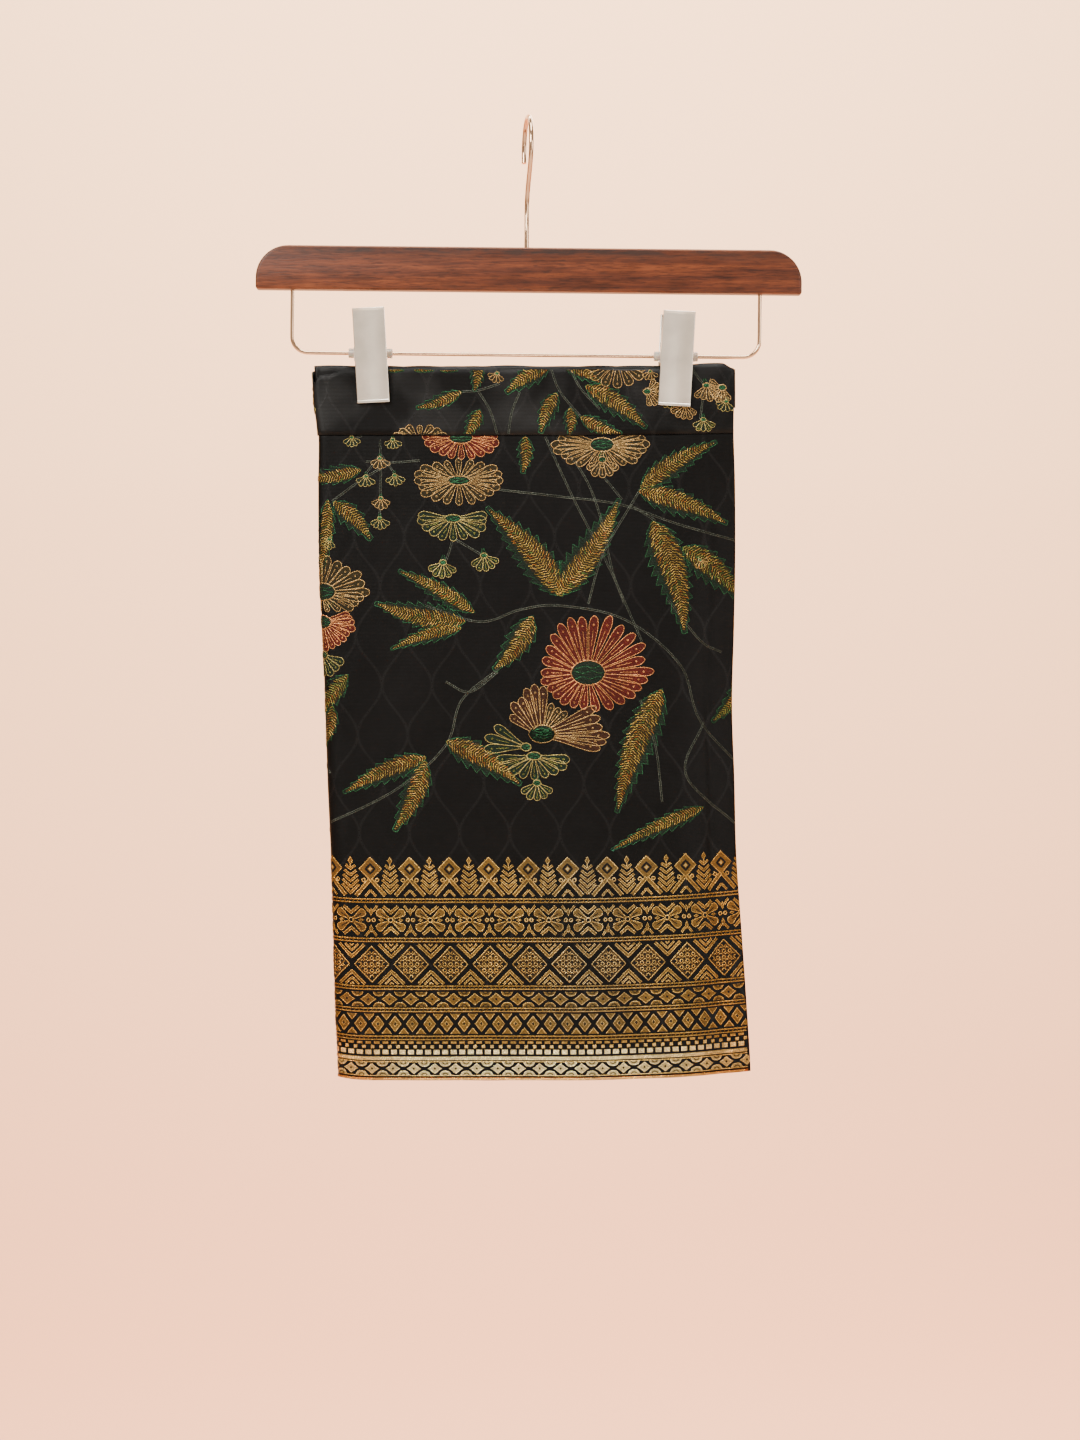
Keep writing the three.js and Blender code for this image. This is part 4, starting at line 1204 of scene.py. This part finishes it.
def leaf(art, base, tip, half, bow, light="leafGold"):
    # a dark toothed blade, and on it a toothed gold body worked in short slanting strokes
    base, tip = np.array(base, dtype=float), np.array(tip, dtype=float)
    along = tip - base
    length = np.linalg.norm(along)
    ahead = along / length
    across = np.array([-ahead[1], ahead[0]])
    lobes = max(5, round(length / 7.0))
    share = np.linspace(0, 1, 2 * lobes + 1)

    def spineAt(s):
        return base + along * s[:, None] + across * (bow * 4 * s * (1 - s))[:, None]

    def widthAt(s):
        return half * (np.sin(math.pi * np.clip(s, 0.0, 1) ** 0.68) ** 0.8 * (1 - 0.25 * s))

    spine, width = spineAt(share), widthAt(share)
    side = sideways(spine)
    gap = length / lobes
    left, right = toothedEdges(spine, side, width * 1.25, ahead, 0.66, gap * 0.42)
    blade(art, left, spine, right, 0.1, "deepGreen")
    for edge in (left, right):
        ribbon(art, edge, 0.36, "mint", 0.13, 0.12, step=5)
    # the gold body keeps to one side of the blade
    sway = math.copysign(0.14 * half, bow if bow else 1)
    core = spineAt(share * 0.97) + side * sway * np.sin(math.pi * share)[:, None]
    goldLeft, goldRight = toothedEdges(core, side, width * 0.84, ahead, 0.72, gap * 0.36)
    blade(art, goldLeft, core, goldRight, 0.17, "olive")
    tones = [light] * 4 + ["strawGold"] * 3 + ["paleGold", "paleGold", "leafGreen", "amber"]
    count = max(9, round(length / 1.75))
    for s in (np.arange(count) + 0.5) / count:
        at, sideHere = pointsAt(s, share, core), pointsAt(s, share, side)
        toothed = 0.86 + 0.14 * math.cos(2 * math.pi * s * lobes)
        reach = float(widthAt(np.array([s]))[0]) * 0.84 * toothed
        lanes = 1 if reach < 2.2 else 2 if reach < 4.8 else 3
        for way in (-1, 1):
            # short strokes in lanes, each lane half a step on from the last
            for lane in range(lanes):
                inner, outer = (reach * (lane + k) / lanes for k in (0.06, 0.94))
                rise = min(1.6, (outer - inner) * 0.75)
                foot = at + sideHere * way * inner + ahead * (0.87 * (lane % 2))
                end = at + sideHere * way * outer + ahead * (0.87 * (lane % 2) + rise)
                ribbon(art, [foot, end], np.array([[0.5], [0.34]]), random.choice(tones), 0.24, 0.2,
                       step=99)


def bud(art, at, size, angle, look):
    # a closed bud: a few short petals over a green cup, opening towards angle
    flower(art, at, (size * 0.2, size * 0.16), (size,) * 4, 5, (angle - 58, angle + 58), look,
           squeeze=0.75)
    turned = math.radians(angle + 180)
    spine = np.array(at) + np.array([math.cos(turned), math.sin(turned)]) * np.linspace(
        -0.15 * size, 0.45 * size, 5)[:, None]
    petal(art, spine[::-1], size * 0.2, "deepGreen", "mint", 0.4)


def stem(art, points):
    # two fine threads with rungs between them
    line, width = smoothLine(points, 1.8), 1.05
    side = sideways(line) * width / 2
    for way in (-1, 1):
        ribbon(art, line + side * way, 0.36, "stem", 0.1, 0.16, step=9)
    for k in range(len(line) - 1):
        ends = [line[k] + side[k], line[k + 1] - side[k + 1]]
        ribbon(art, ends, 0.3, "stemShade", 0.1, 0.1, step=9)


def drawSpray(art, spray, shift):
    def moved(point):
        return (point[0] + shift, point[1])

    for points in spray["stems"]:
        stem(art, [moved(p) for p in points])
    for foot, tip, *form in spray["leaves"]:
        leaf(art, moved(foot), moved(tip), *form)
    for at, *form in spray["buds"]:
        bud(art, moved(at), *form)
    for at, *form in spray["flowers"]:
        flower(art, moved(at), *form)


def shaded(art):
    # the dyes are made coppery towards the folds and greyer right of the middle, and the
    # middle of the lowest rows is made paler and brighter as a painted highlight
    flat = np.array(art["flat"])
    dye = np.array(art["dyes"])
    u, z = flat[:, 0], flat[:, 1]
    local = np.where(u > splitAt, u, u - repeatAlong)
    inBorder = ease((-478 - z) / 8)
    side = ease((np.abs(local - 2) - 88) / 40) * inBorder
    cool = np.exp(-(((local - 34) / 34) ** 2)) * inBorder * ease((z + 606) / 12)
    # painted highlight on the middle of the lowest border rows
    hemHighlight = ease((-606 - z) / 14) * np.exp(-(((local + 10) / 95) ** 4))
    dye = dye * (1 + side[:, None] * (np.array([1.1, 0.88, 0.7]) - 1))
    dye = dye * (1 + cool[:, None] * (np.array([0.86, 1.0, 1.6]) - 1))
    dye = dye * (1 + hemHighlight[:, None] * (np.array([1.6, 1.9, 2.6]) - 1))
    waver = 1 + 0.1 * np.sin(u / 7.3 + z / 11) + 0.08 * np.sin(u / 3.1 - z / 5)
    return np.clip(dye * waver[:, None], 0, 0.95)


def embroideredPiece(name, sheet, art, lowest, highest):
    flat = np.array(art["flat"])
    free, _, _ = sheetEnds(sheet, flat[:, 1])
    flat[:, 1] = np.clip(flat[:, 1], lowest, highest(flat[:, 0]))
    flat[:, 0] = np.minimum(flat[:, 0], free - 0.5)
    faces = np.array(art["faces"])
    corners = flat[faces][:, :, :2]
    u, z = corners[:, :, 0], corners[:, :, 1]
    area = 0.5 * ((u[:, 0] - u[:, 2]) * (z[:, 1] - z[:, 3])
                  - (u[:, 1] - u[:, 3]) * (z[:, 0] - z[:, 2]))
    faces = np.where((area < 0)[:, None], faces[:, ::-1], faces)
    kept = np.abs(area) > 0.004
    # the dye colours carry the painted highlight made in shaded
    piece = meshPiece(name, onCloth(sheet, flat), faces[kept].tolist(), uv=flat[:, :2],
                      slots=np.array(art["slots"])[kept], dyes=shaded(art),
                      materials=[mats["fill"], mats["gold"]])
    return piece


# where each motif lies on the flat cloth: along it and its height
# centre, core, reach to the left, right, down and up, petals, first and last angle, look
flowers = [
    ((36.9, -365.7), (11.2, 8.2), (32.3, 42.9, 25.7, 38.9), 26, (0, 360), "rust"),
    ((5.9, -405.9), (8.6, 5.9), (23.8, 43.6, 15.8, 34.3), 6, (88, 158), "bronze"),
    ((5.9, -405.9), (8.6, 5.9), (22.4, 43.6, 19.8, 29), 6, (-30, 36), "bronze"),
    ((6.6, -404.6), (6.6, 4.6), (19.8, 26.4, 15.8, 19.8), 3, (48, 76), "gold"),
    ((-4.8, -414.5), (3.3, 2.6), (27.7, 13.2, 13.2, 22.4), 3, (140, 186), "green"),
    ((0.4, -420.4), (4.6, 2.6), (26.4, 25.1, 15.8, 13.2), 9, (190, 350), "green"),
    ((-44.2, -210.5), (7.9, 4), (25.1, 25.1, 15.2, 15.8), 11, (176, 364), "rust"),
    ((-46.1, -238.9), (7.3, 3), (30.4, 30.4, 15.8, 14.5), 20, (0, 360), "gold"),
    ((-50.4, -264), (5.3, 2.6), (24.4, 24.4, 15.2, 8.6), 11, (165, 375), "green"),
    ((-137.9, -312.6), (9.2, 5.9), (26.4, 31.7, 14.5, 23.8), 22, (0, 360), "gold"),
    ((-138.3, -332.6), (6.6, 4.6), (22.4, 22.4, 19.8, 11.9), 18, (150, 390), "rust"),
    ((-138.6, -354.5), (4, 2.6), (15.8, 15.8, 14.5, 6.6), 7, (200, 340), "green"),
    ((48.7, -215.3), (7.9, 4.6), (33, 31.7, 15.8, 17.2), 17, (150, 390), "gold"),
]
# place, size, the way it opens, look
buds = [
    ((2, -438.2), 12.5, 270, "green"), ((-57.5, -293), 11.2, 265, "green"),
    ((-30.4, -288.4), 10.6, 278, "green"), ((48.6, -225.2), 12.5, 270, "gold"),
    ((-116.2, -210.5), 6.6, 270, "green"), ((-89.2, -211.9), 6.6, 270, "green"),
    ((-98, -224.4), 7.3, 270, "gold"), ((-107.4, -236.3), 7.3, 265, "green"),
    ((-88.3, -235.6), 7.3, 275, "green"), ((-97.7, -250.8), 7.3, 270, "gold"),
    ((-98.6, -264), 7.3, 270, "green"), ((112.5, -292.7), 5.9, 300, "gold"),
    ((-131.9, -278), 6.6, 240, "green"),
]
# foot, tip, half width, bow, and the strokes' dye where it is another
leaves = [
    ((-37, -326), (-87.3, -298.3), 6.3, -1.3), ((-43, -332), (-102.9, -319.4), 8.6, 2),
    ((-45.7, -335.9), (-92.8, -350.5), 5.3, -2), ((1.3, -328), (-25.7, -363.7), 8.6, 2.6),
    ((21.3, -315.5), (-28.5, -256.7), 11.2, -2.6), ((16.7, -314.8), (59.3, -251), 10.6, -2.6),
    ((72, -245.9), (131.7, -269.4), 8.6, 2), ((73.3, -244.6), (124.8, -214.6), 7.9, 2),
    ((80.9, -266), (101, -341.5), 12.5, 3.3),
    ((100.5, -283.7), (144.7, -322.1), 9.9, 2, "paleGreen"),
    ((154.8, -366.8), (120.1, -400.8), 7.3, 1.3, "paleGreen"),
    ((85.6, -377.4), (54.5, -458.5), 11.2, -2.6), ((-57.6, -410.5), (-8.5, -439.6), 9.2, 2),
    ((-70.3, -421.1), (-125.5, -445.2), 7.3, -2), ((-71, -423.1), (-92.9, -469.9), 8.6, 2),
    ((113.1, -457), (50.1, -482.9), 5.6, -1.3), ((-110, -231.7), (-151.6, -237.2), 5.9, 1.3),
    ((-129.5, -252.9), (-104.8, -278.5), 7.3, 2), ((-132.7, -251.6), (-140.3, -302.8), 5.9, 1.3),
    ((-2, -209.2), (-4.4, -234.3), 5.3, 1.3), ((144.2, -387.5), (136.5, -415.1), 5.3, 1.3),
]
stems = [
    [(-69.9, -321.4), (-33.8, -332), (-7.2, -324.1), (19.2, -321.4), (62, -331.1),
     (98, -362), (111.2, -399.1), (141.5, -432.7)],
    [(-21.1, -362.3), (-46.5, -383.5), (-57.6, -413.2), (-88.4, -440.9), (-135.1, -465.1)],
    [(-56.9, -371.6), (-41.2, -378.2), (-22.5, -365)],
    [(-107.2, -226.4), (-90.1, -227), (-71.6, -225.7)],
    [(-20.4, -244.9), (20.4, -249.5), (59.9, -255), (99.4, -269.1), (140, -281.1)],
    [(11.2, -209.9), (29.6, -251.5), (52.6, -297.9), (72.9, -345.9)],
    [(19.1, -209.9), (37.8, -238.3), (47.2, -264.8), (53.9, -297.9), (61.5, -320.5)],
    [(71, -384.2), (80.4, -414.3), (84.4, -452.2)],
    [(90.6, -318.6), (111.8, -345.9), (127.4, -354.6)],
    [(-90.1, -227), (-110.1, -238.3), (-130.1, -252.9)],
    [(73.3, -245.3), (48.9, -285.9), (37.7, -320.2)], [(-50.7, -277.9), (-55.5, -292.4)],
    [(-48.7, -277.9), (-31.1, -288.4)], [(114.1, -400.5), (100.8, -435.1), (137.9, -471.1)],
    [(-97.7, -211.9), (-97.4, -231.7), (-98.6, -262)], [(-97.3, -221.8), (-107.4, -234.3)],
    [(-97.3, -221.8), (-88.2, -234.3)], [(-109.6, -209.2), (-116.2, -212.5)],
    [(40.9, -211.9), (44.5, -229.1), (61.3, -251.7)], [(4.9, -423.1), (2, -438.2)],
    [(-57.6, -413.2), (-41.7, -411.2), (-27.4, -421.1)], [(82.9, -266), (66.5, -255.1)],
]
bandFlowers = [
    ((-71.3, -211.2), (5.9, 1.3), (17.8, 17.8, 10.6, 9.2), 7, (8, 172), "gold"),
    ((59.5, -161.8), (6.6, 2.6), (20.5, 20.5, 16.5, 9.2), 7, (190, 350), "gold"),
    ((79, -180.4), (2.6, 2), (10.6, 10.6, 10.6, 9.2), 7, (-80, 60), "gold"),
    ((128.6, -178.3), (2.6, 2), (9.2, 9.2, 10.6, 9.2), 7, (150, 300), "gold"),
]
bandBuds = [
    ((103.9, -190), 9.9, 262, "gold"), ((118, -176.8), 10.6, 285, "gold"),
    ((131, -187.7), 7.3, 250, "green"), ((115.7, -199.6), 8.6, 270, "green"),
    ((92.8, -184.5), 7.3, 250, "green"), ((81.2, -167.2), 5.9, 270, "gold"),
    ((-19.8, -168.3), 6.6, 250, "gold"),
]
bandLeaves = [
    ((-91.7, -166.3), (-81.1, -166.3), 1.3, 0),
    ((-74.5, -166.3), (-61.3, -166.3), 1.3, 0, "leafGreen"),
    ((-57.4, -166.3), (-45.5, -166.3), 1.3, 0), ((-43.1, -180.2), (-73.6, -190.7), 4.6, 1.3),
    ((-32.2, -160.4), (-35.2, -180.2), 4.6, 0.7), ((15.3, -163), (-14.1, -181.5), 6.6, -1.3),
    ((19.6, -180.8), (8.6, -207.9), 5.9, -1.3), ((28, -190.7), (27.1, -209.2), 4.6, 0.7),
    ((38.2, -176.2), (77.9, -205), 7.9, 2), ((34.5, -196.7), (62.1, -208.1), 5.3, -1.3),
    ((-31.4, -192.1), (-41.6, -209.9), 5.3, 0.7), ((25.2, -163), (48.1, -174.9), 5.3, 1.3),
]
bandStems = [
    [(-32.5, -179.5), (-24.8, -192.7), (-19.8, -209.9)],
    [(-4.8, -180.2), (-10.3, -193.4), (-13.2, -209.9)],
    [(-43.1, -180.2), (-32.5, -179.5), (-17.9, -174.9)],
    [(15.3, -163), (21.6, -180.2), (37.1, -199.3)],
    [(27.8, -163), (34.9, -177.6), (47.8, -192.1)],
    [(87.9, -161.9), (95.6, -175.9), (107.3, -189.4)],
    [(107.7, -163.4), (116.7, -176.1), (131.7, -187.7)], [(95.6, -175.9), (92.8, -184.5)],
    [(116.7, -176.1), (113.7, -199.5)],
]


sprays = {
    "body": {"flowers": flowers, "buds": buds, "leaves": leaves, "stems": stems},
    "band": {"flowers": bandFlowers, "buds": bandBuds, "leaves": bandLeaves, "stems": bandStems},
}


def embroider(name, sheet, side):
    art, seam = newDrawing(), cloth["seamZ"]
    front = side == "front"
    drawSpray(art, sprays[sheet], 0 if front else repeatAlong)
    if sheet == "band":
        return embroideredPiece(name, sheet, art, seam + 0.6, lambda u: bandTopEdge(u) - 0.7)
    drawBorder(art, drawnFrom if front else splitAt, splitAt if front else drawnTo)
    return embroideredPiece(name, sheet, art, hemLine - 0.3, lambda u: seam - 0.5)


frontWork = embroider("bodyBrocadeFront", "body", "front")
backWork = embroider("bodyBrocadeBack", "body", "back")
bandFront = embroider("bandBrocadeFront", "band", "front")
bandBack = embroider("bandBrocadeBack", "band", "back")
for work in (frontWork, backWork, bandFront, bandBack):
    print(work.name, len(work.data.polygons), "faces")



def makeBackdrop():
    # a plain pale floor, wide on every side, that sweeps up into a wall well behind
    floorZ, wallY, sweep, reach = -1.25, 3.4, 1.2, 40
    profile = [(-reach, floorZ), (wallY - sweep, floorZ)]
    profile += [(wallY - sweep + sweep * math.sin(a), floorZ + sweep - sweep * math.cos(a))
                for a in np.radians(np.linspace(10, 90, 9))]
    profile += [(wallY, 5.0)]
    points = [(x, y, z) for y, z in profile for x in (-reach, reach)]
    faces = [(2 * k, 2 * k + 1, 2 * k + 3, 2 * k + 2) for k in range(len(profile) - 1)]
    data = bpy.data.meshes.new("backdrop")
    data.from_pydata(points, [], faces)
    data.polygons.foreach_set("use_smooth", [True] * len(data.polygons))
    backdrop = bpy.data.objects.new("backdrop", data)
    bpy.context.collection.objects.link(backdrop)
    mat, tree, shader = newMaterial("palePaper")
    place = objectPlace(tree)
    apart = node(tree, "ShaderNodeSeparateXYZ", {0: place})
    cloud = noise(tree, place, 0.6, 2)
    back = times(tree, plus(tree, apart.outputs[1], 1.0), 0.5, clamp=True)
    # painted shade: the wall's colour is made darker and deeper towards the floor
    height = times(tree, plus(tree, apart.outputs[2], 1.3), 0.6, clamp=True)
    wall = ramp(tree, height, [(0.1, (0.81, 0.39, 0.22)), (0.8, (0.95, 0.60, 0.35))])
    floor = ramp(tree, cloud, [(0.3, (0.86, 0.74, 0.64)), (0.7, (0.90, 0.79, 0.69))])
    tree.links.new(mixColour(tree, back, floor, wall), shader.inputs["Base Color"])
    shader.inputs["Roughness"].default_value = 0.9
    data.materials.append(mat)


def makeLight(name, place, target, size, power, colour):
    light = bpy.data.lights.new(name, "AREA")
    light.size = size
    light.energy = power
    light.color = colour
    lamp = bpy.data.objects.new(name, light)
    bpy.context.collection.objects.link(lamp)
    lamp.location = place
    direction = Vector(target) - lamp.location
    lamp.rotation_euler = direction.to_track_quat("-Z", "Y").to_euler()


makeBackdrop()
middle = (0, 0, -0.4)
makeLight("key", (-1.3, -2.0, 1.0), middle, 1.0, 80, (1, 0.97, 0.92))
makeLight("fill", (1.8, -1.7, 0.0), middle, 1.2, 26, (1, 0.96, 0.91))
makeLight("top", (0.1, -0.6, 1.6), middle, 1.0, 42, (1, 0.97, 0.93))
makeLight("low", (-0.04, -2.3, -0.86), (0, 0, -0.6), 0.3, 4, (1, 0.97, 0.9))
makeLight("behind", (0.9, 2.0, 0.7), middle, 1.4, 40, (1, 0.96, 0.9))
makeLight("wall", (0, 1.3, 1.8), (0, 3.3, 0), 2.5, 320, (1, 0.97, 0.93))

world = bpy.data.worlds.new("studio")
world.use_nodes = True
world.node_tree.nodes["Background"].inputs[0].default_value = (0.97, 0.87, 0.78, 1)
world.node_tree.nodes["Background"].inputs[1].default_value = 0.62
bpy.context.scene.world = world
bpy.context.view_layer.update()

print("stage set")
